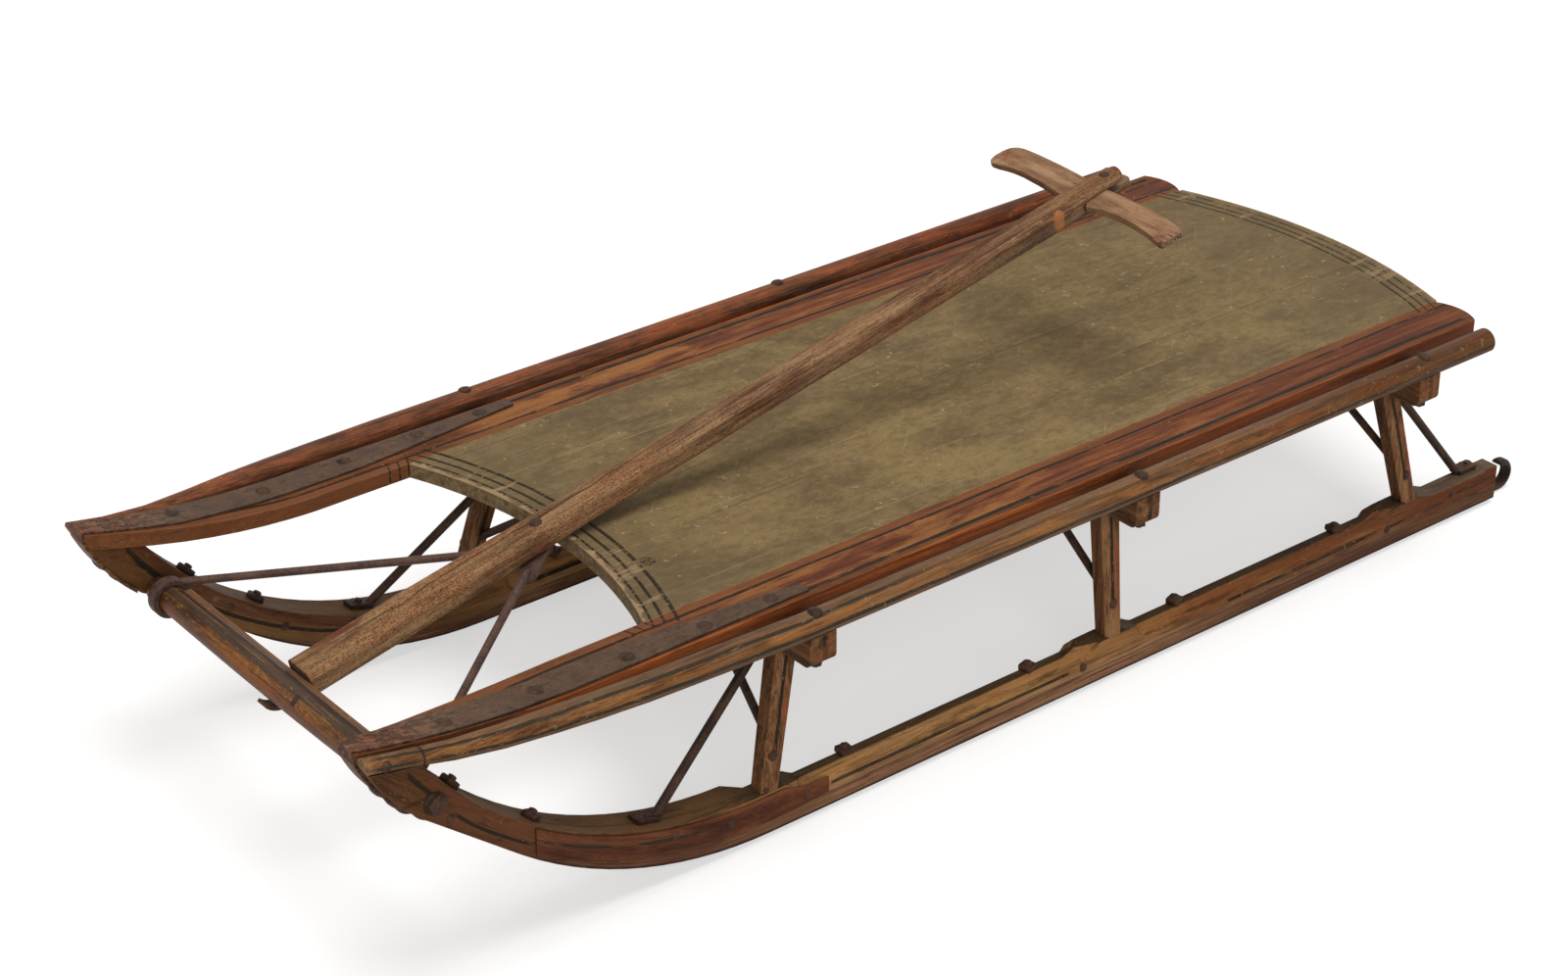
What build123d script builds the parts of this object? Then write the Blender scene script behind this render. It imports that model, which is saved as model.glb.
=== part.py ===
from build123d import *
from math import acos, asin, atan2, cos, degrees, hypot, radians, sin, sqrt
import os

os.makedirs("parts", exist_ok=True)

# Sizes in mm. The front is towards -X, the left side is -Y, Z = 0 is the underside of the wood.

# runners
runner_track = 412.0        # centre to centre
runner_width = 32.0
runner_height = 31.0        # top of the plain stretch above the underside
pad_height = 38.0           # top under each post
sole_height = 13.0          # top of the wooden sole
toe_reach = 0.5             # from the front post's foot to the start of the bend
bend_radius = 375.0         # big bend of the runner's underside
bend_angle = 39.5
nose_rise = 15.5            # of the nose's tip above the deck
flick_radius = 158.0
flick_angle = 68.0
nose_depth = 24.5           # of the wood, square to the straight stretch before the tip
tip_rise = 12.0             # of the wood's top end above the deck
rear_overhang = 121.0       # from the rear post's foot to the heel
pad_ramp = 37.0
pad_drop = 20.0
pad_margin = 5.0
inner_chamfer = 13.0        # along the upper inner edge
outer_chamfer = 10.0        # along the upper outer edge between the posts
chamfer_run = 18.0          # length over which a chamfer runs out

# iron shoe, half-round, worn flat
shoe_width = 12.0
shoe_thickness = 5.0
shoe_flat = 5.0
shoe_climb = 14.0           # degrees of the bend that it covers
curl_reach = 22.5           # from the heel to the middle of the curl
curl_radius = 11.0          # inside
curl_sweep = 190.0

# deck, side boards and beams
board_thickness = 13.0
deck_top = 196.0
deck_width = 328.0
deck_front_overhang = 108.5  # past the front beam's middle
deck_front_hollow = 32.0
deck_rear_overhang = 102.5
deck_rear_bow = 28.0
side_width = 49.0
side_end_inset = 4.0        # of the side board's rear end from the deck's corner
side_end_bow = 7.0
side_nose_width = 21.0
side_rise_back = 194.1      # behind the tip: where the board starts to rise
side_rise_radius = 870.0
side_taper_back = 179.1     # where its outer edge turns in
side_taper = 2.5
side_taper_run = 80.0
side_sweep_back = 79.1      # where the inner edge's curve turns into a straight line
side_sweep = 10.7
beam_pitch = 346.5
beam_width = 26.0
beam_depth = 27.0
beam_end_inset = 1.7        # from the handrail's outer side
beam_nose_radius = 7.0

# posts
post_foot = 18.0
post_top_x = 21.0
post_top_y = 20.0
post_chamfer = 3.0
post_top_inset = 9.0        # of the post's top centre inside the runner's centre line

# handrails
rail_radius = 11.2
rail_seat = 4.2             # how much of the round is flattened on the beams
rail_gap = 14.8             # to the side board
rail_overhang = 83.5        # past the rear beam's middle
rail_bend_reach = 13.5      # past the front beam's middle
rail_nose_inset = 22.5
rail_nose_lift = 25.5
rail_nose_loss = 4.4        # off the radius

# iron straps on the side boards, bent round the nose
strap_thickness = 2.5
strap_width = 29.0
strap_end_width = 14.0
strap_nose_width = 19.0
strap_length = 411.1
strap_taper_back = 249.1
strap_edge = 2.0            # from the side board's outer edge
strap_leg_back = 38.0       # how far the strap goes under the nose

# side plates on the runner's front
plate_thickness = 1.5
plate_inset = 2.0
plate_front_back = 139.1
plate_rear_back = 419.1

# braces
brace_radius = 3.9
brace_reach = 112.5         # from the front post's foot to the lug
rear_brace_inset = 30.0     # from the heel to the lug
brace_lug_reach = 10.0      # from the lug's middle to where the rod leaves it
brace_top_y = 180.5
brace_tab_length = 17.0
brace_tab_width = 13.0
brace_tab_thickness = 4.0
knee_radius = 3.6
knee_reach = 108.0          # from the post's inner face to the end under the beam
knee_drop = 76.0
lug_thickness = 4.0
lug_length = 22.0
lug_width = 13.0

# crossbar between the noses
bar_back_x = 58.1           # behind the tip
bar_z = 148.0
bar_radius = 13.0
bar_end_radius = 11.0
bar_back = 13.0
bar_back_height = 18.0

# tongue
tongue_angle = 13.0
tongue_yaw = 1.0            # the pole stands a little askew
tongue_side = -5.0          # the yoke has slid this far to the left on the bar
bar_clearance = 1.0
pole_base_width = 34.0
pole_base_depth = 22.0
eye_width = 10.0
eye_wall = 4.4
eye_inset = 13.0            # from the runner's inner face to the middle of the eye
yoke_radius = 3.4
yoke_root_angle = 48.0      # where on the eye the rod leaves it
yoke_bolt_s = 243.0         # distances s run along the pole from the bar's axis
yoke_tab_thickness = 4.0
yoke_tab_width = 16.0
grip_s = 841.0
grip_length = 218.0
grip_width = 27.0
grip_tip_width = 26.0
grip_sweep = 7.0
grip_thickness = 7.0
grip_tip_thickness = 4.5
cheek_end_s = 873.0
pole_end_s = 887.0
pole_end_radius = 10.5
slot_clearance = 0.3
hook_thickness = 3.0
hook_width = 14.0
hook_side = 10.0            # of the pole's centre line
hook_turn = 112.0
hook_strap = 62.0

board_under = deck_top - board_thickness
runner_in = runner_track / 2 - runner_width / 2
runner_out = runner_track / 2 + runner_width / 2
deck_edge = deck_width / 2
side_out = deck_edge + side_width
rail_y = side_out + rail_gap + rail_radius
rail_z = board_under - rail_seat + rail_radius
beam_half = rail_y + rail_radius - beam_end_inset
beam_under = board_under - beam_depth
beam_places = {"front": -beam_pitch, "middle": 0.0, "rear": beam_pitch}
foot_shift = {"front": -31.0, "middle": -4.0, "rear": 23.0}
feet = {place: beam_places[place] + foot_shift[place] for place in beam_places}
foot_y = runner_out - post_foot / 2
top_y = runner_track / 2 - post_top_inset
toe_x = feet["front"] - toe_reach
heel_x = feet["rear"] + rear_overhang
curl_x = heel_x + curl_reach
deck_front_x = -beam_pitch - deck_front_overhang
deck_rear_x = beam_pitch + deck_rear_overhang
sides = {"left": -1, "right": 1}


def slope_point(centre, radius, slope):
    # point of a bend where the line that comes from the rear climbs by this slope
    a = radians(270 - slope)
    return (centre[0] + radius * cos(a), centre[1] + radius * sin(a))


# underside of the wood: flat, bend, straight stretch, flick
climb_sin, climb_cos = sin(radians(bend_angle)), cos(radians(bend_angle))
bend_centre = (toe_x, bend_radius)
bend_end = slope_point(bend_centre, bend_radius, bend_angle)
nose_run = (deck_top + nose_rise - bend_end[1]
            - flick_radius * (climb_cos - cos(radians(flick_angle)))) / climb_sin
nose_start = (bend_end[0] - nose_run * climb_cos, bend_end[1] + nose_run * climb_sin)
flick_centre = (nose_start[0] + flick_radius * climb_sin,
                nose_start[1] + flick_radius * climb_cos)
nose_x = slope_point(flick_centre, flick_radius, flick_angle)[0]

# upper side of the wood: level on the front pad, then one bend to the nose
pad_half = post_foot / 2 + pad_margin
front_pad = feet["front"] - pad_half
gauge = (bend_end[0] - 0.64 * nose_run * climb_cos + nose_depth * climb_sin,
         bend_end[1] + 0.64 * nose_run * climb_sin + nose_depth * climb_cos)
upper_bend_radius = ((front_pad - gauge[0]) ** 2 / (gauge[1] - pad_height)
                     + gauge[1] - pad_height) / 2
upper_centre = (front_pad, pad_height + upper_bend_radius)
upper_bend_angle = degrees(acos((upper_centre[1] - deck_top - tip_rise) / upper_bend_radius))
upper_tip = slope_point(upper_centre, upper_bend_radius, upper_bend_angle)

# what lies along the nose keeps its place from the tip
side_nose_x = nose_x - 2.9
side_rise_x = nose_x + side_rise_back
side_sweep_x = nose_x + side_sweep_back
side_taper_x = nose_x + side_taper_back
strap_rear_x = nose_x + strap_length
strap_taper_x = nose_x + strap_taper_back
plate_front_x = nose_x + plate_front_back
plate_rear_x = nose_x + plate_rear_back
bar_x = nose_x + bar_back_x


def sole_line(depth):
    # underside of the wood from the heel to the tip, this deep inside it
    inner_bend = slope_point(bend_centre, bend_radius - depth, bend_angle)
    inner_nose = slope_point(flick_centre, flick_radius - depth, bend_angle)
    Line((heel_x, depth), (toe_x, depth))
    CenterArc(bend_centre, bend_radius - depth, 270 - bend_angle, bend_angle)
    Line(inner_bend, inner_nose)
    CenterArc(flick_centre, flick_radius - depth, 270 - flick_angle, flick_angle - bend_angle)
    return slope_point(flick_centre, flick_radius - depth, flick_angle)


def board_line(lift):
    # top of the bent side board, raised by this much, as seen from the side
    z = deck_top + lift
    Line((deck_rear_x + 40, z), (side_rise_x, z))
    centre = (side_rise_x, deck_top + side_rise_radius)
    CenterArc(centre, side_rise_radius - lift, 270 - 16, 16)
    return slope_point(centre, side_rise_radius - lift, 16)


# side view of all that lies behind the wood's underside, and behind the strap on the nose
insides = {}
for name, depth in (("wood", 0.0), ("strap", -strap_thickness)):
    with BuildSketch(Plane.XZ) as inside:
        with BuildLine():
            end = sole_line(depth)
            Polyline(end, (end[0], 2 * deck_top), (heel_x + 120, 2 * deck_top),
                     (heel_x + 120, depth), (heel_x, depth))
        make_face()
    insides[name] = inside.sketch
    front_x = end[0]

# side view of the bent side board and of the strap on it
bands = {}
for name, low, high in (("board", -board_thickness, 0.0), ("strap", 0.0, strap_thickness)):
    with BuildSketch(Plane.XZ) as band:
        with BuildLine():
            a = board_line(low)
            b = board_line(high)
            Line(a, b)
            Line((deck_rear_x + 40, deck_top + low), (deck_rear_x + 40, deck_top + high))
        make_face()
    bands[name] = band.sketch

# the strap goes on round the tip and under the nose
with BuildSketch(Plane.XZ) as above_strap:
    with BuildLine():
        a = board_line(strap_thickness)
        Polyline(a, (a[0], 3 * deck_top), (deck_rear_x + 40, 3 * deck_top),
                 (deck_rear_x + 40, deck_top + strap_thickness))
    make_face()
with BuildSketch(Plane.XZ) as strap_side:
    add(bands["strap"])
    add(insides["strap"], mode=Mode.INTERSECT)
    with BuildSketch(Plane.XZ, mode=Mode.PRIVATE) as leg:
        add(insides["strap"])
        add(insides["wood"], mode=Mode.SUBTRACT)
        add(above_strap.sketch, mode=Mode.SUBTRACT)
        with Locations((nose_x, deck_top)):
            Rectangle(2 * strap_leg_back, 2 * deck_top, mode=Mode.INTERSECT)
    add(leg.sketch)

with BuildSketch(Plane.XZ) as runner_side:
    with BuildLine():
        inner_tip = sole_line(0)
        Line(inner_tip, upper_tip)
        CenterArc(upper_centre, upper_bend_radius, 270 - upper_bend_angle, upper_bend_angle)
        Polyline(
            (front_pad, pad_height),
            (feet["front"] + pad_half, pad_height),
            (feet["front"] + pad_half + pad_drop, runner_height),
            (feet["middle"] - pad_half - pad_ramp, runner_height),
            (feet["middle"] - pad_half, pad_height),
            (feet["middle"] + pad_half, pad_height),
            (feet["middle"] + pad_half + pad_drop, runner_height),
            (feet["rear"] - pad_half - pad_ramp, runner_height),
            (feet["rear"] - pad_half, pad_height),
            (feet["rear"] + pad_half, pad_height),
            (feet["rear"] + pad_half + pad_drop, runner_height + 2),
            (heel_x - 18, runner_height + 2),
            (heel_x - 12, runner_height + 4),
            (heel_x, runner_height + 3),
            (heel_x, 0),
        )
    make_face()
    add(bands["board"], mode=Mode.SUBTRACT)

# wooden sole: a lens that runs out towards the front
sole_end = slope_point(bend_centre, bend_radius, bend_angle - 1)
with BuildSketch(Plane.XZ) as sole_side:
    with BuildLine():
        Line((heel_x, 0), (toe_x, 0))
        CenterArc(bend_centre, bend_radius, 271 - bend_angle, bend_angle - 1)
        sole_front = (toe_x + 55, sole_height)
        sole_mid = slope_point(bend_centre, bend_radius - 0.6 * sole_height, bend_angle / 2)
        ThreePointArc(sole_end, sole_mid, sole_front)
        Polyline(sole_front, (heel_x, sole_height), (heel_x, 0))
    make_face()

with BuildSketch(Plane.XZ) as upper_side:
    add(runner_side.sketch)
    add(sole_side.sketch, mode=Mode.SUBTRACT)

# chamfers on the runner's upper edges, as sloping cuts that run out at both ends
stretches = [
    # from, to, level of the edge
    (feet["front"] + pad_half + 4, feet["middle"] - pad_half - 4, runner_height),
    (feet["middle"] + pad_half + 4, feet["rear"] - pad_half - 4, runner_height),
    (feet["rear"] + pad_half + 4, heel_x + 2 * chamfer_run, runner_height + 2),
]
inner_cuts = stretches + [(front_pad - chamfer_run, heel_x + 2 * chamfer_run, pad_height)]
outer_cuts = stretches[:2]

made = {}


def keep(name, solid):
    solid.label = name
    made[name] = solid


def chamfer_cut(start, stop, level, edge_y, s, width):
    # s is the side on which the edge lies, as seen from the runner's middle
    cut = Plane(origin=(0, edge_y - s * width, level), x_dir=(1, 0, 0), z_dir=(0, -1, s))
    with BuildPart() as wedge:
        with BuildSketch(cut):
            Polygon((start + chamfer_run, 0), (stop - chamfer_run, 0), (stop, width),
                    (start, width), align=None)
        extrude(amount=2 * width, both=True)
    return wedge.part


for side, s in sides.items():
    shift = Location((0, s * runner_track / 2, 0))

    with BuildPart() as runner:
        extrude(upper_side.sketch.moved(shift), amount=runner_width / 2, both=True)
        for start, stop, level in inner_cuts:
            add(chamfer_cut(start, stop, level, s * runner_in, -s, inner_chamfer),
                mode=Mode.SUBTRACT)
        for start, stop, level in outer_cuts:
            add(chamfer_cut(start, stop, level, s * runner_out, s, outer_chamfer),
                mode=Mode.SUBTRACT)
    keep(f"runner_{side}", runner.part)

    with BuildPart() as sole:
        extrude(sole_side.sketch.moved(shift), amount=runner_width / 2, both=True)
    keep(f"sole_{side}", sole.part)

    # half-round iron bar, from the bend to the curl
    with BuildPart() as shoe:
        with BuildLine(Plane.XZ.offset(-s * runner_track / 2)) as shoe_path:
            CenterArc(bend_centre, bend_radius, 270 - shoe_climb, shoe_climb)
            Line((toe_x, 0), (curl_x, 0))
            CenterArc((curl_x, curl_radius), curl_radius, 270, curl_sweep)
        first = slope_point(bend_centre, bend_radius, shoe_climb)
        turn = radians(shoe_climb)
        across = Plane(origin=(first[0], s * runner_track / 2, first[1]), x_dir=(0, 1, 0),
                       z_dir=(cos(turn), 0, -sin(turn)))
        with BuildSketch(across):
            with BuildLine():
                out, low, flat = shoe_width / 2, shoe_thickness, shoe_flat / 2
                knee = (0.86 * out, -0.58 * low)
                Line((-out, 0), (out, 0))
                ThreePointArc((out, 0), knee, (flat, -low))
                Line((flat, -low), (-flat, -low))
                ThreePointArc((-flat, -low), (-knee[0], knee[1]), (-out, 0))
            make_face()
        sweep(path=shoe_path.line)
    keep(f"shoe_{side}", shoe.part)


def rod(start, end, radius):
    start, end = Vector(*start), Vector(*end)
    with BuildPart() as bar:
        with BuildSketch(Plane(origin=start, z_dir=end - start)):
            Circle(radius)
        extrude(amount=(end - start).length)
    return bar.part


with BuildPart() as deck:
    with BuildSketch(Plane.XY.offset(board_under)):
        with BuildLine():
            ThreePointArc((deck_front_x, -deck_edge), (deck_front_x + deck_front_hollow, 0),
                          (deck_front_x, deck_edge))
            Line((deck_front_x, deck_edge), (deck_rear_x, deck_edge))
            ThreePointArc((deck_rear_x, deck_edge), (deck_rear_x + deck_rear_bow, 0),
                          (deck_rear_x, -deck_edge))
            Line((deck_rear_x, -deck_edge), (deck_front_x, -deck_edge))
        make_face()
    extrude(amount=board_thickness)
keep("deck", deck.part)

beams = {}
for place, x in beam_places.items():
    with BuildPart() as beam:
        with BuildSketch(Plane.YZ.offset(x)):
            with Locations((0, board_under - beam_depth / 2)):
                Rectangle(2 * beam_half, beam_depth)
            fillet(vertices().sort_by(Axis.Y)[:2], radius=beam_nose_radius)
        extrude(amount=beam_width / 2, both=True)
    keep(f"beam_{place}", beam.part)
    beams[place] = beam.part

nose_out = side_out - side_taper
side_front = side_nose_x - 30
side_rear_x = deck_rear_x - side_end_inset
rail_bend_x = -beam_pitch - rail_bend_reach
rail_rear_x = beam_pitch + rail_overhang
rail_nose_x = side_nose_x - 2 * rail_radius
brace_lugs = {"front": feet["front"] - brace_reach, "rear": heel_x - rear_brace_inset}
for side, s in sides.items():
    shift = Location((0, s * runner_track / 2, 0))
    runner_solid = made[f"runner_{side}"]

    # bent side board
    with BuildSketch() as board_plan:
        with BuildLine():
            inner = [(side_rise_x, s * deck_edge), (side_sweep_x, s * (deck_edge + side_sweep)),
                     (side_nose_x, s * (nose_out - side_nose_width))]
            bend = ((side_rise_x + side_sweep_x) / 2, s * (deck_edge + side_sweep / 3))
            ThreePointArc(inner[0], bend, inner[1])
            Polyline(inner[1], inner[2], (side_front, s * (nose_out - side_nose_width)),
                     (side_front, s * nose_out), (side_taper_x - side_taper_run, s * nose_out),
                     (side_taper_x, s * side_out), (side_rear_x, s * side_out))
            ThreePointArc((side_rear_x, s * side_out),
                          (side_rear_x + side_end_bow, s * (side_out - 0.4 * side_width)),
                          (side_rear_x, s * deck_edge))
            Line((side_rear_x, s * deck_edge), inner[0])
        make_face()
    with BuildPart() as side_board:
        extrude(bands["board"].moved(shift), amount=side_width, both=True)
        extrude(board_plan.sketch, amount=3 * deck_top, mode=Mode.INTERSECT)
        extrude(insides["wood"].moved(shift), amount=side_width, both=True,
                mode=Mode.INTERSECT)
    keep(f"side_board_{side}", side_board.part)

    # iron strap that lies on it and goes round the tip
    strap_out = nose_out - 0.5
    with BuildSketch() as strap_plan:
        with BuildLine():
            Polyline(
                (side_front, s * (strap_out - strap_nose_width)),
                (side_nose_x, s * (strap_out - strap_nose_width)),
                (side_sweep_x, s * (strap_out - strap_width)),
                (strap_taper_x, s * (strap_out - strap_width)),
                (strap_rear_x, s * (strap_out - strap_end_width)),
                (strap_rear_x, s * (strap_out - strap_edge)),
                (strap_taper_x, s * strap_out),
                (side_front, s * strap_out),
                (side_front, s * (strap_out - strap_nose_width)),
            )
        make_face()
    with BuildPart() as strap:
        extrude(strap_side.sketch.moved(shift), amount=side_width, both=True)
        extrude(strap_plan.sketch, amount=3 * deck_top, mode=Mode.INTERSECT)
    keep(f"strap_{side}", strap.part)

    # handrail: shares of its bend's length, inset, lift and loss of radius at the nose
    rail_path = [
        # along, inset, lift, loss
        (0.0, 0.0, 0.0, 0.0),
        (0.20, 0.09, 0.05, 0.0),
        (0.36, 0.18, 0.08, 0.05),
        (0.47, 0.29, 0.12, 0.11),
        (0.56, 0.41, 0.16, 0.21),
        (0.66, 0.58, 0.20, 0.43),
        (0.76, 0.78, 0.31, 0.73),
        (0.86, 0.95, 0.57, 1.0),
        (1.0, 1.0, 1.0, 1.0),
    ]
    with BuildPart() as rail:
        for along, inset, lift, loss in rail_path:
            across_rail = Plane(
                origin=(rail_bend_x - along * (rail_bend_x - rail_nose_x),
                        s * (rail_y - inset * rail_nose_inset), rail_z + lift * rail_nose_lift),
                x_dir=(0, 1, 0), z_dir=(-1, 0, 0))
            with BuildSketch(across_rail):
                Circle(rail_radius - loss * rail_nose_loss)
        loft(ruled=True)
        with BuildSketch(Plane(origin=(rail_rear_x, s * rail_y, rail_z),
                               x_dir=(0, 1, 0), z_dir=(-1, 0, 0))):
            Circle(rail_radius)
        extrude(amount=rail_rear_x - rail_bend_x)
        with Locations((0, s * rail_y, board_under - rail_radius)):
            Box(4 * rail_rear_x, 3 * rail_radius, 2 * rail_radius, mode=Mode.SUBTRACT)
        add(side_board.part, mode=Mode.SUBTRACT)
        add(runner_solid, mode=Mode.SUBTRACT)
        extrude(insides["wood"].moved(shift), amount=2 * side_width, both=True,
                mode=Mode.INTERSECT)
    keep(f"handrail_{side}", rail.part)

    # posts
    posts = {}
    for place, x in beam_places.items():
        with BuildPart() as post:
            for z, px, py, across, deep in (
                (pad_height, feet[place], foot_y, post_foot, post_foot),
                (beam_under, x, top_y, post_top_x, post_top_y),
            ):
                with BuildSketch(Plane.XY.offset(z)):
                    with Locations((px, s * py)):
                        Rectangle(across, deep)
                    chamfer(vertices(), length=post_chamfer)
            loft(ruled=True)
        keep(f"post_{place}_{side}", post.part)
        posts[place] = post.part

    # plate on the outside of the runner's bend
    with BuildSketch(Plane.XZ) as plate_side:
        add(upper_side.sketch)
        offset(amount=-plate_inset)
        middle = (plate_front_x + plate_rear_x) / 2
        with Locations((middle, deck_top / 2)):
            Rectangle(plate_rear_x - plate_front_x, 2 * deck_top, mode=Mode.INTERSECT)
    with BuildPart() as plate:
        extrude(plate_side.sketch.moved(Location((0, s * (runner_out + plate_thickness / 2), 0))),
                amount=plate_thickness / 2, both=True)
    keep(f"side_plate_{side}", plate.part)

    # long braces: rod with a foot lug on the runner and a flat end under the beam
    foot_run = front_pad - brace_lugs["front"]
    foot_slope = degrees(asin(foot_run / upper_bend_radius))
    foot_z = upper_centre[1] - sqrt(upper_bend_radius**2 - foot_run**2)
    brace_y = s * runner_track / 2
    for place, out, low, slope in (
        ("front", -1, foot_z, foot_slope),
        ("rear", 1, runner_height + 2, 0.0),
    ):
        lug_x = brace_lugs[place]
        rod_low = (lug_x - out * brace_lug_reach, brace_y,
                   low + lug_thickness / 2 + brace_lug_reach * sin(radians(slope)) * out)
        rod_top_x = beam_places[place] + (17 if place == "rear" else -2)
        rod_top = (rod_top_x, s * brace_top_y, beam_under - brace_tab_thickness / 2)
        with BuildPart() as brace:
            with Locations(Location((lug_x, brace_y, low + lug_thickness / 2), (0, slope, 0))):
                Box(lug_length, lug_width, lug_thickness + 1)
            add(rod(rod_low, rod_top, brace_radius))
            with BuildSketch(Plane.XY.offset(beam_under)):
                with Locations((rod_top_x - out * brace_tab_length / 2, s * brace_top_y)):
                    SlotCenterToCenter(brace_tab_length, brace_tab_width)
            extrude(amount=-brace_tab_thickness)
            with Locations((rod_top_x, s * brace_top_y, beam_under + brace_radius)):
                Box(4 * brace_radius, 4 * brace_radius, 2 * brace_radius, mode=Mode.SUBTRACT)
            add(runner_solid, mode=Mode.SUBTRACT)
            add(posts[place], mode=Mode.SUBTRACT)
        keep(f"brace_{place}_{side}", brace.part)

    # short knee braces between the posts and the beams
    for place, x in beam_places.items():
        up = (beam_under - knee_drop - pad_height) / (beam_under - pad_height)
        knee_x = x + (1 - up) * foot_shift[place]
        inner_face = foot_y + up * (top_y - foot_y) - post_foot / 2 - up
        with BuildPart() as knee:
            add(rod((knee_x, s * (inner_face + 5), beam_under - knee_drop - 3.5),
                    (x, s * (inner_face - knee_reach - 5), beam_under + 3.5), knee_radius))
            add(posts[place], mode=Mode.SUBTRACT)
            add(beams[place], mode=Mode.SUBTRACT)
        keep(f"knee_{place}_{side}", knee.part)

# crossbar: round, with a flat strip behind that stops short of the eyes
strip_half = runner_in - 2 * eye_inset - abs(tongue_side)
with BuildPart() as crossbar:
    for y, radius in ((-runner_in, bar_end_radius), (0.0, bar_radius), (runner_in, bar_end_radius)):
        with BuildSketch(Plane(origin=(bar_x, y, bar_z), x_dir=(1, 0, 0), z_dir=(0, -1, 0))):
            Circle(radius)
    loft()
    with Locations((bar_x + bar_back / 2, 0, bar_z)):
        Box(bar_back, 2 * strip_half, bar_back_height)
    for s in sides.values():
        add(made["runner_right" if s > 0 else "runner_left"], mode=Mode.SUBTRACT)
keep("crossbar", crossbar.part)

# tongue: pole with a forked end, cross grip, yoke and hook
lean, askew = radians(tongue_angle), radians(tongue_yaw)
pole_dir = Vector(cos(lean) * cos(askew), -sin(askew), sin(lean) * cos(askew))
pole_up = Vector(-sin(lean), 0, cos(lean))
pole_frame = Plane(origin=(bar_x, tongue_side, bar_z), x_dir=pole_dir, z_dir=pole_up)
bar_reach = hypot(bar_back, bar_back_height / 2) + bar_clearance
eye_hole = bar_end_radius + 1.2 * bar_clearance
eye_y = runner_in - eye_inset

front_edge = grip_s - grip_width / 2
rear_edge = grip_s + grip_width / 2
half = grip_length / 2
with BuildSketch(pole_frame) as grip_plan:
    with BuildLine():
        far_tip = (front_edge - grip_sweep, half - 4)
        near_tip = (front_edge - grip_sweep, -half - 3)
        far_rear = (rear_edge - 0.3 * grip_sweep, half - 4)
        near_rear = (front_edge - grip_sweep + grip_tip_width, -half + 4)
        ThreePointArc(far_tip, (front_edge, 0), near_tip)
        Polyline(near_tip, (near_tip[0] + 10, -half - 2), (near_tip[0] + 17, -half + 2), near_rear)
        ThreePointArc(near_rear, (rear_edge, 0), far_rear)
        Line(far_rear, far_tip)
    make_face()

with BuildPart() as grip:
    extrude(grip_plan.sketch, amount=grip_thickness, both=True)
    grip_across = Plane(origin=pole_frame.from_local_coords((grip_s, 0, 0)),
                        x_dir=pole_frame.y_dir, z_dir=pole_dir)
    with BuildSketch(grip_across):
        top, low = grip_thickness / 2, grip_tip_thickness - grip_thickness / 2 + 1
        Polygon((-half - 5, 1 - grip_tip_thickness / 2), (-half / 2, -top), (half / 2, -top),
                (half + 5, 1 - grip_tip_thickness / 2), (half + 5, low + 2), (half / 2, top),
                (-half / 2, top), (-half - 5, low + 2), align=None)
    extrude(amount=3 * grip_width, both=True, mode=Mode.INTERSECT)
keep("grip", grip.part)

pole_sections = [
    # s      width  depth
    (bar_reach, pole_base_width, pole_base_depth),
    (110.0, pole_base_width, pole_base_depth),
    (200.0, 31.0, 21.4),
    (270.0, 28.0, 20.2),
    (400.0, 25.0, 21.8),
    (600.0, 23.2, 22.8),
    (760.0, 23.6, 22.0),
    (815.0, 25.0, 22.0),
    (pole_end_s, 21.0, 20.0),
]
with BuildPart() as pole:
    for along, width, depth in pole_sections:
        with BuildSketch(Plane(origin=pole_frame.from_local_coords((along, 0, 0)),
                               x_dir=pole_frame.y_dir, z_dir=pole_dir)):
            RectangleRounded(width, depth, 0.26 * depth)
    loft(ruled=True)
    # slot for the grip, open at the end
    slot_low = -grip_thickness / 2
    slot_high = grip_thickness / 2 + slot_clearance
    slot_mid, slot_depth = (slot_low + slot_high) / 2, slot_high - slot_low
    slot_end = pole_end_s + 20
    with Locations(pole_frame.location * Location(((grip_s + slot_end) / 2, 0, slot_mid))):
        Box(slot_end - grip_s, 2 * pole_base_width, slot_depth, mode=Mode.SUBTRACT)
    with Locations(pole_frame.location * Location(((cheek_end_s + slot_end) / 2, 0, 20 + slot_low))):
        Box(slot_end - cheek_end_s, 2 * pole_base_width, 40, mode=Mode.SUBTRACT)
    extrude(grip_plan.sketch.moved(Location(pole_up * slot_low)), amount=slot_depth,
            mode=Mode.SUBTRACT)
    # rounded end of the lower cheek
    with BuildSketch(pole_frame):
        with Locations((pole_end_s, 0)):
            Rectangle(30, 60)
        with Locations((pole_end_s - pole_end_radius, 0)):
            Circle(pole_end_radius + 0.2, mode=Mode.SUBTRACT)
            Rectangle(6, 60, mode=Mode.SUBTRACT)
    extrude(amount=40, both=True, mode=Mode.SUBTRACT)
keep("tongue_pole", pole.part)

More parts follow.
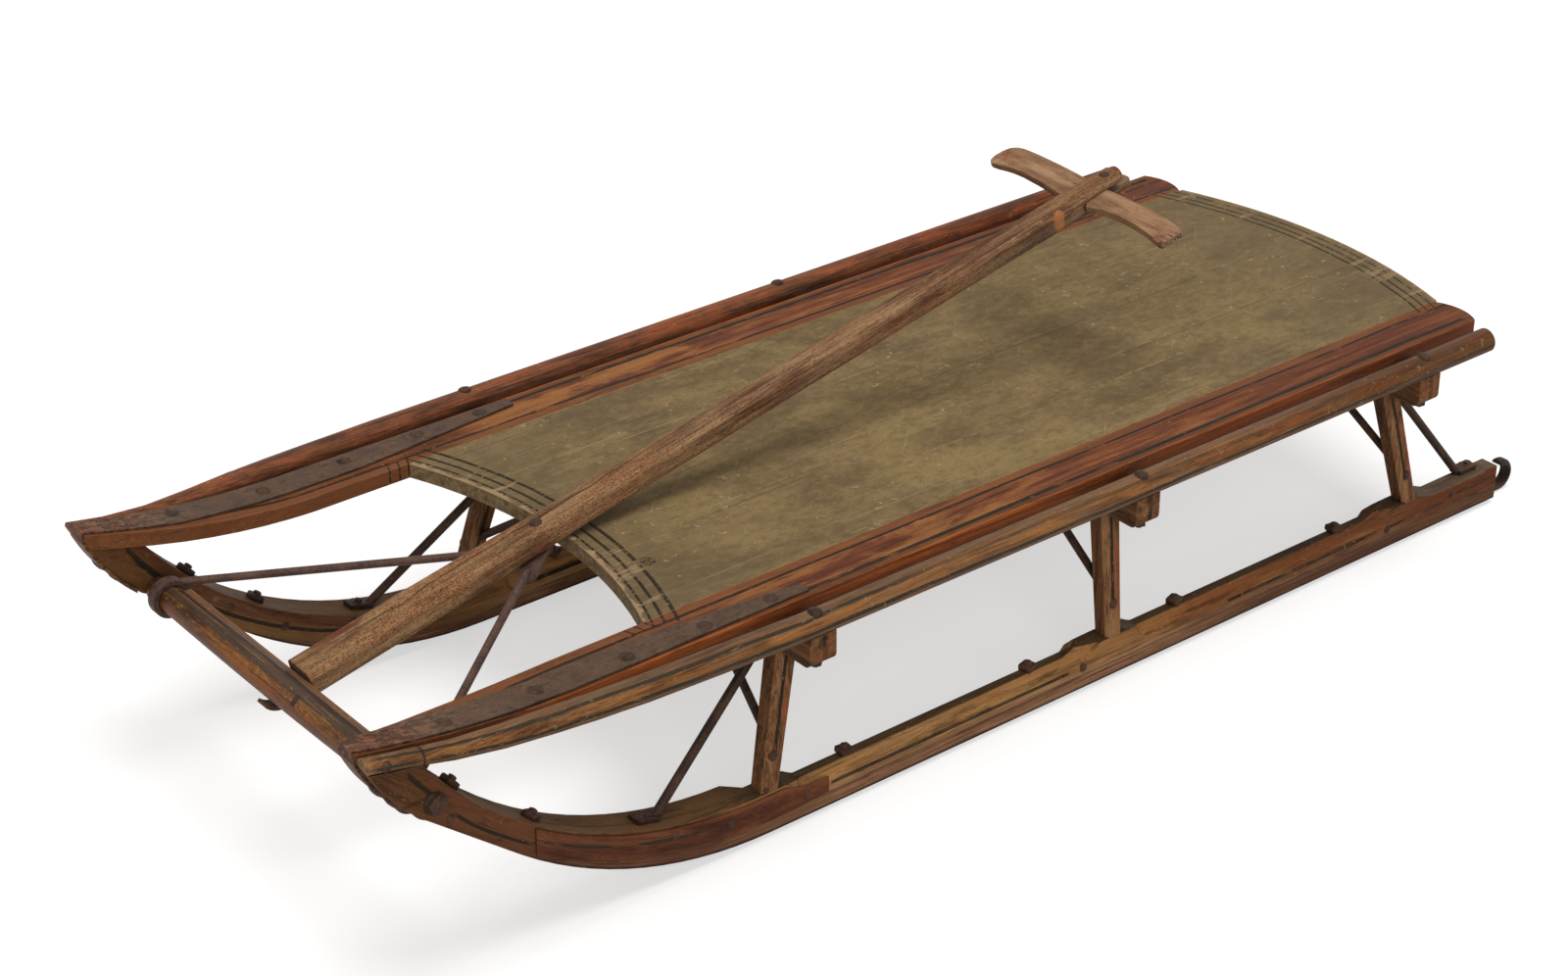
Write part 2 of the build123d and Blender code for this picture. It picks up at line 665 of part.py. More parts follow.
# yoke: an eye round each end of the bar, a rod and a tab bolted under the pole
pole_low = -pole_base_depth / 2 + 0.7
for side, s in sides.items():
    eye_centre_y = tongue_side + s * eye_y
    level = pole_low - (0 if side == "left" else yoke_tab_thickness)
    with BuildPart() as yoke:
        bolt = pole_frame.from_local_coords((yoke_bolt_s, 0, level - yoke_tab_thickness / 2))
        rise = radians(yoke_root_angle)
        root = Vector(bar_x + (eye_hole + 2) * cos(rise), eye_centre_y,
                      bar_z + (eye_hole + 2) * sin(rise))
        rod_end = bolt + (root - bolt) * 0.13
        add(rod(root, rod_end, yoke_radius))
        flat = pole_frame.to_local_coords(rod_end)
        dx, dy = flat.X - yoke_bolt_s, flat.Y
        with BuildSketch(pole_frame.offset(level)):
            with Locations((yoke_bolt_s + dx / 2, dy / 2)):
                SlotCenterToCenter(hypot(dx, dy), yoke_tab_width,
                                   rotation=degrees(atan2(dy, dx)))
        extrude(amount=-yoke_tab_thickness)
        with Locations(Location((bar_x, eye_centre_y, bar_z), (90, 0, 0))):
            Cylinder(eye_hole + eye_wall, eye_width)
            Cylinder(eye_hole, 3 * eye_width, mode=Mode.SUBTRACT)
        add(pole.part, mode=Mode.SUBTRACT)
    keep(f"yoke_{side}", yoke.part)

# hook under the pole's base that reaches round the bar
hook_plane = Plane(origin=(bar_x, tongue_side + hook_side, bar_z),
                   x_dir=(cos(lean), 0, sin(lean)), z_dir=(0, -1, 0))
with BuildPart() as hook:
    with BuildSketch(hook_plane):
        with BuildLine():
            first, last = -38.0, -38.0 - hook_turn
            outer = bar_reach + hook_thickness
            CenterArc((0, 0), bar_reach, first, -hook_turn)
            CenterArc((0, 0), outer, first, -hook_turn)
            for a in (radians(first), radians(last)):
                Line((bar_reach * cos(a), bar_reach * sin(a)), (outer * cos(a), outer * sin(a)))
        make_face()
        start = bar_reach * cos(radians(first))
        with Locations((start + hook_strap / 2, -pole_base_depth / 2 - hook_thickness / 2)):
            Rectangle(hook_strap, hook_thickness)
    extrude(amount=hook_width / 2, both=True)
    add(pole.part, mode=Mode.SUBTRACT)
keep("hook", hook.part)

# the origin is under the shoes at the middle of the length
middle_x = (curl_x + curl_radius + shoe_thickness + front_x) / 2
for name in sorted(made):
    placed = made[name].moved(Location((-middle_x, 0, shoe_thickness)))
    placed.label = name
    export_step(placed, f"parts/{name}.step")
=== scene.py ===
import math
import random
import bpy
import bmesh
from mathutils import Matrix, Vector
from mathutils.bvhtree import BVHTree


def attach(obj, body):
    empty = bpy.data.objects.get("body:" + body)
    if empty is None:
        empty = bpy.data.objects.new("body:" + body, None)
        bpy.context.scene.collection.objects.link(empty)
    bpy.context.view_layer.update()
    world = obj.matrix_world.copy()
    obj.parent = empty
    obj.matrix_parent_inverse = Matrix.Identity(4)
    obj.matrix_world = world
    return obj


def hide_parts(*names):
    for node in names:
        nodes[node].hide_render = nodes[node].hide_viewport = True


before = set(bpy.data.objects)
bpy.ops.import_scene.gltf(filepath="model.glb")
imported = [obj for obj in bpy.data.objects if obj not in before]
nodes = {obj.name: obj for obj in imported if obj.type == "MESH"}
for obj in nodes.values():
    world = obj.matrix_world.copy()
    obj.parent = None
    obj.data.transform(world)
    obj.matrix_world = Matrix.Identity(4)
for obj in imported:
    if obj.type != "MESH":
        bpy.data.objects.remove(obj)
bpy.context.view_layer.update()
sides = {"left": -1, "right": 1}
places = ("front", "middle", "rear")
print("stage 1: CAD frame loaded,", len(nodes), "nodes")

# the sled is measured in mm in its own drawing, whose zero lies this far from the frame's
drawing = {"ahead": 106.2126, "below": 5.0}


def at(x, y, z):
    return Vector((x + drawing["ahead"], y, z + drawing["below"])) / 1000


# camera and stage
cameraValues = {
    "place": (-1.555767, -1.85284, 1.45596),
    "azimuth": -38.53,
    "elevation": 28.78,
    "roll": -0.28,
    "lens": 72.95,
}
az, el, roll = (math.radians(cameraValues[k]) for k in ("azimuth", "elevation", "roll"))
back = Vector((math.sin(az) * math.cos(el), -math.cos(az) * math.cos(el), math.sin(el)))
level = Vector((math.cos(az), math.sin(az), 0))
up = back.cross(level)
level, up = (math.cos(roll) * level + math.sin(roll) * up,
             math.cos(roll) * up - math.sin(roll) * level)
camera = bpy.data.objects.new("camera", bpy.data.cameras.new("camera"))
camera.data.lens = cameraValues["lens"]
camera.data.sensor_width = 36
camera.data.clip_end = 50
camera.matrix_world = Matrix((level, up, back)).transposed().to_4x4()
camera.location = cameraValues["place"]
bpy.context.collection.objects.link(camera)
bpy.context.scene.camera = camera
bpy.context.scene.view_settings.view_transform = "Standard"


def tint(red, green, blue):
    # a colour as a picture editor shows it
    steps = (v / 255 for v in (red, green, blue))
    return tuple(v / 12.92 if v < 0.04045 else ((v + 0.055) / 1.055) ** 2.4 for v in steps) + (1,)


class Graph:
    # a material's nodes, with short ways to add the usual ones
    def __init__(self, name):
        self.material = bpy.data.materials.new(name)
        self.material.use_nodes = True
        self.tree = self.material.node_tree
        self.shader = self.tree.nodes["Principled BSDF"]
        self.surface = self.node("ShaderNodeNewGeometry")

    def node(self, kind, inputs=None, **settings):
        made = self.tree.nodes.new(kind)
        for key, value in settings.items():
            setattr(made, key, value)
        for key, value in (inputs or {}).items():
            self.put(made.inputs[key], value)
        return made

    def put(self, socket, value):
        if isinstance(value, bpy.types.NodeSocket):
            self.tree.links.new(value, socket)
        else:
            socket.default_value = value

    def math(self, operation, *values, clamp=False):
        return self.node("ShaderNodeMath", dict(enumerate(values)),
                         operation=operation, use_clamp=clamp).outputs[0]

    def add(self, *values):
        total = values[0]
        for value in values[1:]:
            total = self.math("ADD", total, value)
        return total

    def times(self, *values):
        total = values[0]
        for value in values[1:]:
            total = self.math("MULTIPLY", total, value)
        return total

    def minus(self, a, b):
        return self.math("SUBTRACT", a, b)

    def mapped(self, vector, scale=(1, 1, 1), turn=(0, 0, 0), shift=(0, 0, 0)):
        return self.node("ShaderNodeMapping", {
            "Vector": vector, "Location": shift, "Rotation": turn, "Scale": scale}).outputs[0]

    def noise(self, vector, stretch=(1, 1, 1), detail=3, rough=0.5, warp=0.0):
        return self.node("ShaderNodeTexNoise", {
            "Vector": self.mapped(vector, stretch), "Scale": 1.0, "Detail": detail,
            "Roughness": rough, "Distortion": warp}).outputs[0]

    def fade(self, value, low, high):
        # 0 at low, 1 at high
        return self.node("ShaderNodeMapRange", {0: value, 1: low, 2: high},
                         interpolation_type="SMOOTHSTEP").outputs[0]

    def blend(self, factor, a, b, kind="MIX"):
        return self.node("ShaderNodeMix", {0: factor, 6: a, 7: b},
                         data_type="RGBA", blend_type=kind).outputs[2]

    def ramp(self, value, stops):
        made = self.node("ShaderNodeValToRGB", {0: value})
        bar = made.color_ramp.elements
        bar[0].position, bar[0].color = stops[0]
        bar[1].position, bar[1].color = stops[-1]
        for place, colour in stops[1:-1]:
            bar.new(place).color = colour
        return made.outputs[0]

    def split(self, vector):
        return self.node("ShaderNodeSeparateXYZ", {0: vector}).outputs[:3]

    def band(self, value, middle, width, soft=0.5):
        # 1 inside a band of this width
        away = self.math("ABSOLUTE", self.minus(value, middle))
        return self.fade(away, width / 2 + soft, width / 2)

    def between(self, value, low, high, soft=1.0):
        return self.times(self.fade(value, low - soft, low + soft),
                          self.fade(value, high + soft, high - soft))


stageValues = {
    "floorSize": 14.0,
    "floorColour": tint(196, 194, 192),
    "floorGlow": 0.56,          # only what the camera sees
    "worldLight": 0.29,
    "sunLight": 1.8,
    "sunSoftness": 34,
    "sunFrom": (0.12, -0.22, 1.6),
    "fillLight": 1.0,
    "fillFrom": (-0.6, -1.2, 0.75),
}


def cameraSees(g):
    rays = g.node("ShaderNodeLightPath").outputs
    seen = g.math("MAXIMUM", rays["Is Camera Ray"], rays["Is Glossy Ray"])
    return g.math("MAXIMUM", seen, rays["Is Transmission Ray"])


bm = bmesh.new()
bmesh.ops.create_grid(bm, x_segments=4, y_segments=4, size=stageValues["floorSize"] / 2)
floorMesh = bpy.data.meshes.new("floor")
bm.to_mesh(floorMesh)
bm.free()
floor = bpy.data.objects.new("floor", floorMesh)
bpy.context.collection.objects.link(floor)
g = Graph("floor")
diffuse = g.node("ShaderNodeBsdfDiffuse", {"Color": stageValues["floorColour"]})
glow = g.node("ShaderNodeEmission", {
    "Color": (1, 1, 1, 1), "Strength": g.times(cameraSees(g), stageValues["floorGlow"])})
both = g.node("ShaderNodeAddShader", {0: diffuse.outputs[0], 1: glow.outputs[0]})
g.tree.links.new(both.outputs[0], g.tree.nodes["Material Output"].inputs["Surface"])
floorMesh.materials.append(g.material)

world = bpy.data.worlds.new("studio")
bpy.context.scene.world = world
world.use_nodes = True
g = Graph.__new__(Graph)
g.tree = world.node_tree
light = stageValues["worldLight"]
strength = g.math("MULTIPLY_ADD", cameraSees(g), 1 - light, light)
g.put(world.node_tree.nodes["Background"].inputs["Strength"], strength)
world.node_tree.nodes["Background"].inputs["Color"].default_value = (1, 1, 1, 1)
for name in ("sun", "fill"):
    lamp = bpy.data.lights.new(name, "SUN")
    lamp.energy = stageValues[name + "Light"]
    lamp.angle = math.radians(stageValues["sunSoftness"])
    lampObject = bpy.data.objects.new(name, lamp)
    direction = Vector(stageValues[name + "From"])
    lampObject.rotation_euler = direction.to_track_quat("Z", "Y").to_euler()
    bpy.context.collection.objects.link(lampObject)
print("stage 2: camera, floor and light")

# how wood and iron look; a pattern function adds what is painted on one kind of piece
poleLean, poleYaw = math.radians(13.0), math.radians(1.0)
barAxis = Vector((-681.0, -5.0, 148.0))
drawn = {"turn": (0, 0, 0), "shift": (-drawing["ahead"], 0, -drawing["below"])}
poleTurn = Matrix.Rotation(poleYaw, 3, "Z") @ Matrix.Rotation(poleLean, 3, "Y")
barInFrame = at(*barAxis) * 1000
onPole = {"turn": tuple(poleTurn.to_euler()), "shift": tuple(-(poleTurn @ barInFrame))}


def stretched(grain, along, across):
    return {"x": (along, across, across), "y": (across, along, across),
            "z": (across, across, along)}[grain]


def wearOnEdges(g, p, radius):
    soft = g.node("ShaderNodeBevel", {"Radius": radius}, samples=4).outputs[0]
    match = g.node("ShaderNodeVectorMath", {0: soft, 1: g.surface.outputs["Normal"]},
                   operation="DOT_PRODUCT").outputs["Value"]
    edge = g.fade(match, 0.985, 0.86)
    return edge, soft


def wood(name, look, pattern=None):
    g = Graph(name)
    space = look.get("space", drawn)
    source = g.node("ShaderNodeTexCoord").outputs["Object"]
    p = g.mapped(source, (1000,) * 3, space["turn"], space["shift"])
    grain = look["grain"]
    q = bentWood(g, p) if look.get("bent") else p
    fibre = g.noise(q, stretched(grain, 0.014, 0.7), 6, 0.66, 0.2)
    figure = g.noise(q, stretched(grain, *look.get("figureScale", (0.0032, 0.075))), 3, 0.5, 1.6)
    cloud = g.noise(q, stretched(grain, *look.get("cloudScale", (0.012, 0.05))), 6, 0.68, 0.4)
    scratch = g.noise(q, stretched(grain, 0.0075, 1.15), 2, 0.5, 0.15)
    pores = g.noise(q, stretched(grain, 0.026, 1.5), 3, 0.6, 0.1)
    stains = g.noise(q, stretched(grain, 0.007, 0.055), 7, 0.72, 0.9)
    chips = g.noise(p, (0.13, 0.13, 0.13), 7, 0.68, 0.3)
    specks = g.noise(q, stretched(grain, 0.14, 0.5), 3, 0.6)
    tone = g.add(g.times(fibre, look.get("fibre", 0.42)),
                 g.times(figure, 0.30), g.times(cloud, 0.7 - look.get("fibre", 0.42)))
    dark, middle, light = look["colours"]
    colour = g.ramp(tone, [(0.425, dark), (0.5, middle), (0.575, light)])
    relief = g.times(fibre, look.get("relief", 0.5))
    marks = {"p": p, "q": q, "grain": grain, "fibre": fibre, "cloud": cloud, "figure": figure, "chips": chips,
             "scratch": scratch, "relief": relief}
    if pattern:
        colour = pattern(g, colour, marks) or colour
        relief = marks["relief"]
    pored = g.times(g.fade(pores, 0.55, 0.66), look.get("pores", 0.5))
    colour = g.blend(pored, colour, (0.36, 0.31, 0.27, 1), "MULTIPLY")
    relief = g.minus(relief, g.times(pored, 0.5))
    stained = g.times(g.fade(stains, 0.53, 0.66), look.get("stain", 0.5))
    colour = g.blend(stained, colour, look.get("stainColour", tint(46, 32, 22)))
    edge, soft = wearOnEdges(g, p, look.get("edge", 0.0014))
    worn = g.times(edge, g.fade(g.noise(p, (0.045,) * 3, 4, 0.65), 0.42, 0.56),
                   look.get("wear", 0.75))
    colour = g.blend(worn, colour, look.get("wornColour", tint(150, 118, 84)))
    thin = g.times(g.fade(scratch, 0.665, 0.70), look.get("scratches", 0.5),
                   g.fade(cloud, 0.40, 0.55))
    colour = g.blend(thin, colour, look.get("scratchColour", tint(165, 135, 100)))
    flecks = g.times(g.fade(specks, 0.64, 0.68), g.fade(cloud, 0.44, 0.56), look.get("specks", 0.5))
    colour = g.blend(flecks, colour, look.get("scratchColour", tint(165, 135, 100)))
    pitted = g.times(g.fade(specks, 0.36, 0.31), look.get("pits", 0.45))
    colour = g.blend(pitted, colour, tint(44, 32, 24))
    dents = g.times(g.fade(chips, 0.62, 0.64), look.get("chips", 0.45), g.fade(cloud, 0.45, 0.56))
    colour = g.blend(dents, colour, look.get("chipColour", tint(158, 128, 92)))
    # painted shade: the colour darkens where ambient occlusion finds hollows and parts close together
    occlusion = g.node("ShaderNodeAmbientOcclusion", {"Distance": 0.022}, samples=5).outputs["AO"]
    hollowShade = g.times(g.fade(occlusion, 0.82, 0.25), look.get("hollowShade", 0.6))
    colour = g.blend(hollowShade, colour, tint(38, 28, 20))
    g.put(g.shader.inputs["Base Color"], colour)
    low, high = look.get("rough", (0.46, 0.68))
    g.put(g.shader.inputs["Roughness"], g.math("MULTIPLY_ADD", g.fade(g.add(
        g.times(cloud, 0.6), g.times(fibre, 0.4)), 0.38, 0.62), high - low, low))
    g.shader.inputs["Specular IOR Level"].default_value = look.get("shine", 0.045)
    height = g.minus(relief, g.add(g.times(thin, 0.5), g.times(dents, 0.8), g.times(pitted, 0.5)))
    bump = g.node("ShaderNodeBump", {"Strength": look.get("bump", 0.6), "Distance": 0.0007,
                                     "Height": height, "Normal": soft})
    g.put(g.shader.inputs["Normal"], bump.outputs[0])
    return g.material


def bentWood(g, p):
    # along the runner's bend, across it, and height above the underside
    x, y, z = g.split(p)
    cx, cz = runnerValues["bendMiddle"]
    angle = g.math("ARCTAN2", g.minus(cx, x), g.minus(cz, z))
    flat = g.math("GREATER_THAN", x, cx)
    bend = g.math("MULTIPLY_ADD", angle, -runnerValues["bendRadius"], cx)
    along = g.add(g.times(x, flat), g.times(bend, g.minus(1.0, flat)))
    return g.node("ShaderNodeCombineXYZ", {0: along, 1: y, 2: heightInWood(g, x, z)}).outputs[0]


def iron(name, look, pattern=None):
    g = Graph(name)
    source = g.node("ShaderNodeTexCoord").outputs["Object"]
    p = g.mapped(source, (1000,) * 3)
    pits = g.noise(p, (0.42,) * 3, 7, 0.7)
    cloud = g.noise(p, (0.045,) * 3, 5, 0.62)
    flake = g.noise(p, (0.16, 0.16, 0.16), 4, 0.6, 0.5)
    dark, middle, light = look["colours"]
    tone = g.add(g.times(pits, 0.35), g.times(cloud, 0.4), g.times(flake, 0.25))
    colour = g.ramp(tone, [(0.38, dark), (0.5, middle), (0.62, light)])
    rust = g.times(g.fade(flake, 0.54, 0.64), g.fade(cloud, 0.42, 0.55), 0.7)
    colour = g.blend(rust, colour, look.get("rust", tint(98, 58, 36)))
    if pattern:
        colour = pattern(g, colour, g.mapped(source, (1000,) * 3, shift=drawn["shift"]), flake)
    edge, soft = wearOnEdges(g, p, look.get("edge", 0.001))
    worn = g.times(edge, g.fade(cloud, 0.40, 0.56), 0.6)
    colour = g.blend(worn, colour, look.get("wornColour", tint(122, 104, 88)))
    # painted shade: the colour darkens where ambient occlusion finds hollows and parts close together
    occlusion = g.node("ShaderNodeAmbientOcclusion", {"Distance": 0.012}, samples=5).outputs["AO"]
    colour = g.blend(g.times(g.fade(occlusion, 0.8, 0.3), 0.6), colour, tint(26, 20, 16))
    g.put(g.shader.inputs["Base Color"], colour)
    g.put(g.shader.inputs["Roughness"], g.math("MULTIPLY_ADD", g.fade(tone, 0.4, 0.6), 0.26, 0.44))
    g.shader.inputs["Metallic"].default_value = look.get("metal", 0.25)
    g.shader.inputs["Specular IOR Level"].default_value = 0.09
    height = g.add(g.times(pits, 0.5), g.times(flake, 0.5), g.times(rust, 0.3))
    bump = g.node("ShaderNodeBump", {"Strength": look.get("bump", 0.55), "Distance": 0.0006,
                                     "Height": height, "Normal": soft})
    g.put(g.shader.inputs["Normal"], bump.outputs[0])
    return g.material


lineInk = tint(40, 34, 27)


def inked(g, colour, marks, mask, breakup=0.4, ink=lineInk):
    # a painted line, rubbed through where the wood is worn
    rub = g.noise(marks["q"], stretched(marks["grain"], 0.022, 0.16), 6, 0.7)
    low = 0.33 + 0.13 * breakup
    amount = g.times(mask, g.fade(rub, low, low + 0.05), 0.94)
    marks["relief"] = g.add(marks["relief"], g.times(amount, 0.12))
    return g.blend(amount, colour, ink)


# deck: olive paint, three lines along each end, plank seams, a chipped front edge
deckLook = {
    "grain": "x",
    "colours": (tint(110, 91, 62), tint(122, 102, 70), tint(134, 112, 78)),
    "fibre": 0.2,
    "cloudScale": (0.014, 0.017),
    "figureScale": (0.008, 0.02),
    "relief": 0.2,
    "pores": 0.2,
    "pits": 0.12,
    "specks": 0.3,
    "stain": 0.14,
    "stainColour": tint(78, 62, 42),
    "rough": (0.5, 0.72),
    "wornColour": tint(168, 140, 106),
    "scratches": 0.35,
    "scratchColour": tint(158, 142, 108),
    "chips": 0.75,
    "chipColour": tint(168, 148, 112),
    "hollowShade": 0.35,
    "bump": 0.4,
}
deckValues = {
    "top": 196.0,
    "frontArc": (-859.25, 436.25),      # middle and radius of the hollow front edge
    "rearArc": (-17.29, 494.29),
    "frontLines": ((6.4, 1.9), (15.8, 2.5), (26.6, 3.0)),   # from the edge, width
    "rearLines": ((9.0, 1.4), (18.0, 1.7), (26.5, 1.9)),
    "seams": (-141.0, -62.0, 10.0, 81.0, 150.0),
    "bareWood": (tint(96, 78, 55), tint(124, 103, 74), tint(150, 126, 90)),
    "chipWood": tint(176, 148, 114),
    "knot": (-397.8, -91.3),
    "knotRadius": 5.5,
}


def arcInset(g, x, y, arc, sign):
    radius = g.math("SQRT", g.add(g.math("POWER", g.minus(x, arc[0]), 2.0), g.times(y, y)))
    return g.times(g.minus(radius, arc[1]), sign)


def deckPattern(g, colour, marks):
    v = deckValues
    x, y, z = g.split(marks["p"])
    wobble = g.times(g.minus(g.noise(marks["p"], (0.02, 0.02, 0.02), 2), 0.5), 2.2)
    front = g.add(arcInset(g, x, y, v["frontArc"], 1), wobble)
    rear = g.add(arcInset(g, x, y, v["rearArc"], -1), wobble)
    big = g.noise(marks["p"], (0.006, 0.0085, 0.01), 6, 0.66, 0.3)
    colour = g.blend(g.times(g.fade(big, 0.51, 0.62), 0.5), colour, tint(148, 126, 82))
    colour = g.blend(g.times(g.fade(big, 0.49, 0.38), 0.45), colour, tint(94, 77, 56))
    mottle = g.noise(marks["p"], (0.11, 0.17, 0.15), 6, 0.72)
    colour = g.blend(g.times(g.fade(mottle, 0.5, 0.40), 0.32), colour, tint(84, 66, 46))
    colour = g.blend(g.times(g.fade(mottle, 0.52, 0.62), 0.3), colour, tint(146, 124, 86))
    long = g.noise(marks["p"], (0.0028, 0.62, 0.4), 2, 0.4)
    colour = g.blend(g.times(g.fade(long, 0.68, 0.70), g.fade(mottle, 0.4, 0.5), 0.6), colour,
                     tint(160, 142, 104))
    paleEnd = g.times(g.fade(rear, 260.0, 0.0), 0.5)
    colour = g.blend(paleEnd, colour, tint(108, 92, 68))
    for turn, length in ((0.5, 0.012), (-0.75, 0.02), (1.35, 0.03)):
        hair = g.noise(g.mapped(marks["p"], (1, 1, 1), (0, 0, turn)), (length, 0.85, 0.4), 2, 0.5)
        here = g.times(g.fade(hair, 0.70, 0.72), g.fade(big, 0.4, 0.6), 0.55)
        colour = g.blend(here, colour, tint(164, 146, 108))
    dust = g.times(g.fade(g.noise(marks["p"], (0.035, 0.1, 0.1), 7, 0.78), 0.6, 0.68),
                   g.fade(g.noise(marks["p"], (0.012, 0.014, 0.01), 3), 0.48, 0.6), 0.6)
    colour = g.blend(dust, colour, tint(158, 143, 106))
    for i, seam in enumerate(v["seams"]):
        line = g.band(g.add(y, g.times(wobble, 0.25)), seam, 0.5, 0.5)
        faint = g.times(line, g.fade(g.noise(marks["p"], (0.011, 0.4, 0.4), 2), 0.4, 0.6))
        shade = tint(150, 138, 104) if i in (0, 3) else tint(62, 52, 36)
        colour = g.blend(g.times(faint, 0.6), colour, shade)
        marks["relief"] = g.minus(marks["relief"], g.times(line, 0.35))
    for inset, lines in ((front, v["frontLines"]), (rear, v["rearLines"])):
        for place, width in lines:
            worn = 0.75 if place < 10 else 0.25
            colour = inked(g, colour, marks, g.band(inset, place, width, 0.45), worn)
    # chips at the seams and beside the front lines
    nearSeam = g.times(g.band(y, v["seams"][1] - 30, 18, 6), 1.0)
    for place in v["seams"]:
        nearSeam = g.add(nearSeam, g.band(g.add(y, g.times(wobble, 1.5)), place, 3.2, 2.0))
    splinter = g.fade(g.noise(marks["p"], (0.05, 0.22, 0.2), 5, 0.7), 0.46, 0.56)
    ends = g.math("MAXIMUM", g.fade(front, 33.0, 24.0), g.fade(rear, 34.0, 22.0))
    chip = g.times(nearSeam, splinter, ends, 0.7)
    ragged = g.add(front, g.times(g.minus(g.noise(marks["p"], (0.03, 0.05, 0.05), 5, 0.7), 0.5), 26))
    chip = g.math("MAXIMUM", chip, g.fade(ragged, 4.2, 2.4))
    raggedRear = g.add(rear, g.times(g.minus(marks["chips"], 0.5), 16))
    chip = g.math("MAXIMUM", chip, g.times(g.fade(raggedRear, 3.4, 1.6), 0.6), clamp=True)
    colour = g.blend(chip, colour, g.blend(marks["fibre"], tint(140, 112, 80), v["chipWood"]))
    marks["relief"] = g.minus(marks["relief"], g.times(chip, 0.9))
    fromKnot = g.math("SQRT", g.add(g.math("POWER", g.minus(x, v["knot"][0]), 2.0),
                                    g.math("POWER", g.minus(y, v["knot"][1]), 2.0)))
    ring = g.band(g.add(fromKnot, wobble), v["knotRadius"], 2.2, 1.2)
    blot = g.math("MAXIMUM", ring, g.fade(fromKnot, 5.5, 4.0))
    blot = g.times(blot, g.fade(g.noise(marks["p"], (0.35, 0.35, 0.35), 3, 0.6), 0.46, 0.54), 0.8)
    colour = g.blend(blot, colour, tint(56, 44, 30))
    bare = g.ramp(g.add(g.times(marks["fibre"], 0.4), g.times(mottle, 0.6)),
                  [(0.42, v["bareWood"][0]), (0.5, v["bareWood"][1]), (0.58, v["bareWood"][2])])
    return g.blend(g.fade(z, v["top"] - 0.9, v["top"] - 0.3), bare, colour)


# side boards: red-brown between two dark lines, lighter towards the deck and outside
sideLook = {
    "grain": "x",
    "colours": (tint(82, 43, 28), tint(116, 66, 42), tint(150, 96, 56)),
    "fibre": 0.34,
    "stain": 0.55,
    "rough": (0.42, 0.62),
    "wornColour": tint(152, 112, 76),
    "scratches": 0.5,
    "scratchColour": tint(158, 112, 74),
    "chips": 0.4,
    "hollowShade": 0.25,
    "bump": 0.5,
}
sideValues = {
    "deckEdge": 164.0,
    "innerLine": (174.8, 2.7),
    "outerLine": (204.6, 4.0),
    "outerFace": 212.2,
    "seamLight": tint(160, 118, 74),
    "inner": tint(136, 90, 56),
    "outer": tint(120, 76, 44),
    "outside": tint(180, 94, 44),
    "frontShade": tint(110, 68, 44),
}


def sidePattern(g, colour, marks):
    v = sideValues
    x, y, z = g.split(marks["p"])
    wide = g.math("ABSOLUTE", y)
    wobble = g.times(g.minus(g.noise(marks["p"], (0.006, 0.02, 0.02), 2), 0.5), 3.4)
    # towards the nose the inner edge turns outwards, and the line goes with it
    drift = g.times(g.fade(x, -545.0, -735.0), 24.0)
    across = g.minus(g.add(wide, wobble), drift)
    streak = g.add(g.times(marks["fibre"], 0.5), g.times(marks["figure"], 0.5))
    colour = g.blend(g.times(g.fade(x, 20.0, 360.0), 0.5), colour,
                     g.blend(streak, tint(62, 34, 26), tint(104, 56, 40)))
    front = g.times(g.fade(x, -300.0, -470.0), g.fade(streak, 0.3, 0.6))
    colour = g.blend(g.times(front, 0.7), colour, v["frontShade"])
    golden = g.times(g.between(x, -380.0, -60.0, 60.0), g.fade(marks["cloud"], 0.42, 0.58), 0.6)
    colour = g.blend(golden, colour, tint(158, 108, 62))
    inside = g.fade(across, v["innerLine"][0] + 1, v["innerLine"][0] - 1)
    colour = g.blend(g.times(inside, 0.75), colour, g.blend(streak, tint(106, 58, 34), v["inner"]))
    outside = g.fade(across, v["outerLine"][0] - 1, v["outerLine"][0] + 1.5)
    colour = g.blend(g.times(outside, 0.75), colour, g.blend(streak, tint(84, 54, 34), v["outer"]))
    colour = inked(g, colour, marks, g.band(across, v["innerLine"][0], v["innerLine"][1]), 0.35)
    thick = g.times(g.band(across, v["outerLine"][0], v["outerLine"][1]), g.fade(x, 443.0, 436.0))
    colour = inked(g, colour, marks, thick, 0.35)
    seam = g.times(g.band(wide, v["deckEdge"] + 0.2, 0.9, 0.5), g.fade(x, -460.0, -452.0),
                   g.fade(marks["chips"], 0.42, 0.5))
    colour = g.blend(g.times(seam, 0.7), colour, v["seamLight"])
    # the deck's lines run on to the first dark line
    for arc, sign, lines in ((deckValues["frontArc"], 1, deckValues["frontLines"]),
                             (deckValues["rearArc"], -1, deckValues["rearLines"])):
        inset = arcInset(g, x, y, arc, sign)
        for place, width in lines:
            mask = g.times(g.band(inset, place, width * 0.8, 0.4), g.fade(wide, 181.0, 177.0))
            colour = inked(g, colour, marks, mask, 0.55)
    peeled = g.times(g.fade(g.noise(marks["p"], (0.05, 0.28, 0.28), 5, 0.7), 0.53, 0.58),
                     g.between(x, -700.0, -610.0, 12.0), g.band(across, 176.0, 9.0, 3.0))
    colour = g.blend(peeled, colour, tint(160, 108, 66))
    low = g.fade(z, 182.0, 196.5)
    flank = g.blend(g.times(g.fade(streak, 0.42, 0.58), low), tint(110, 60, 32), v["outside"])
    flank = g.blend(g.times(g.fade(x, 0.0, 300.0), 0.5), flank, tint(104, 58, 36))
    return g.blend(g.fade(wide, v["outerFace"] - 2.2, v["outerFace"]), colour, flank)
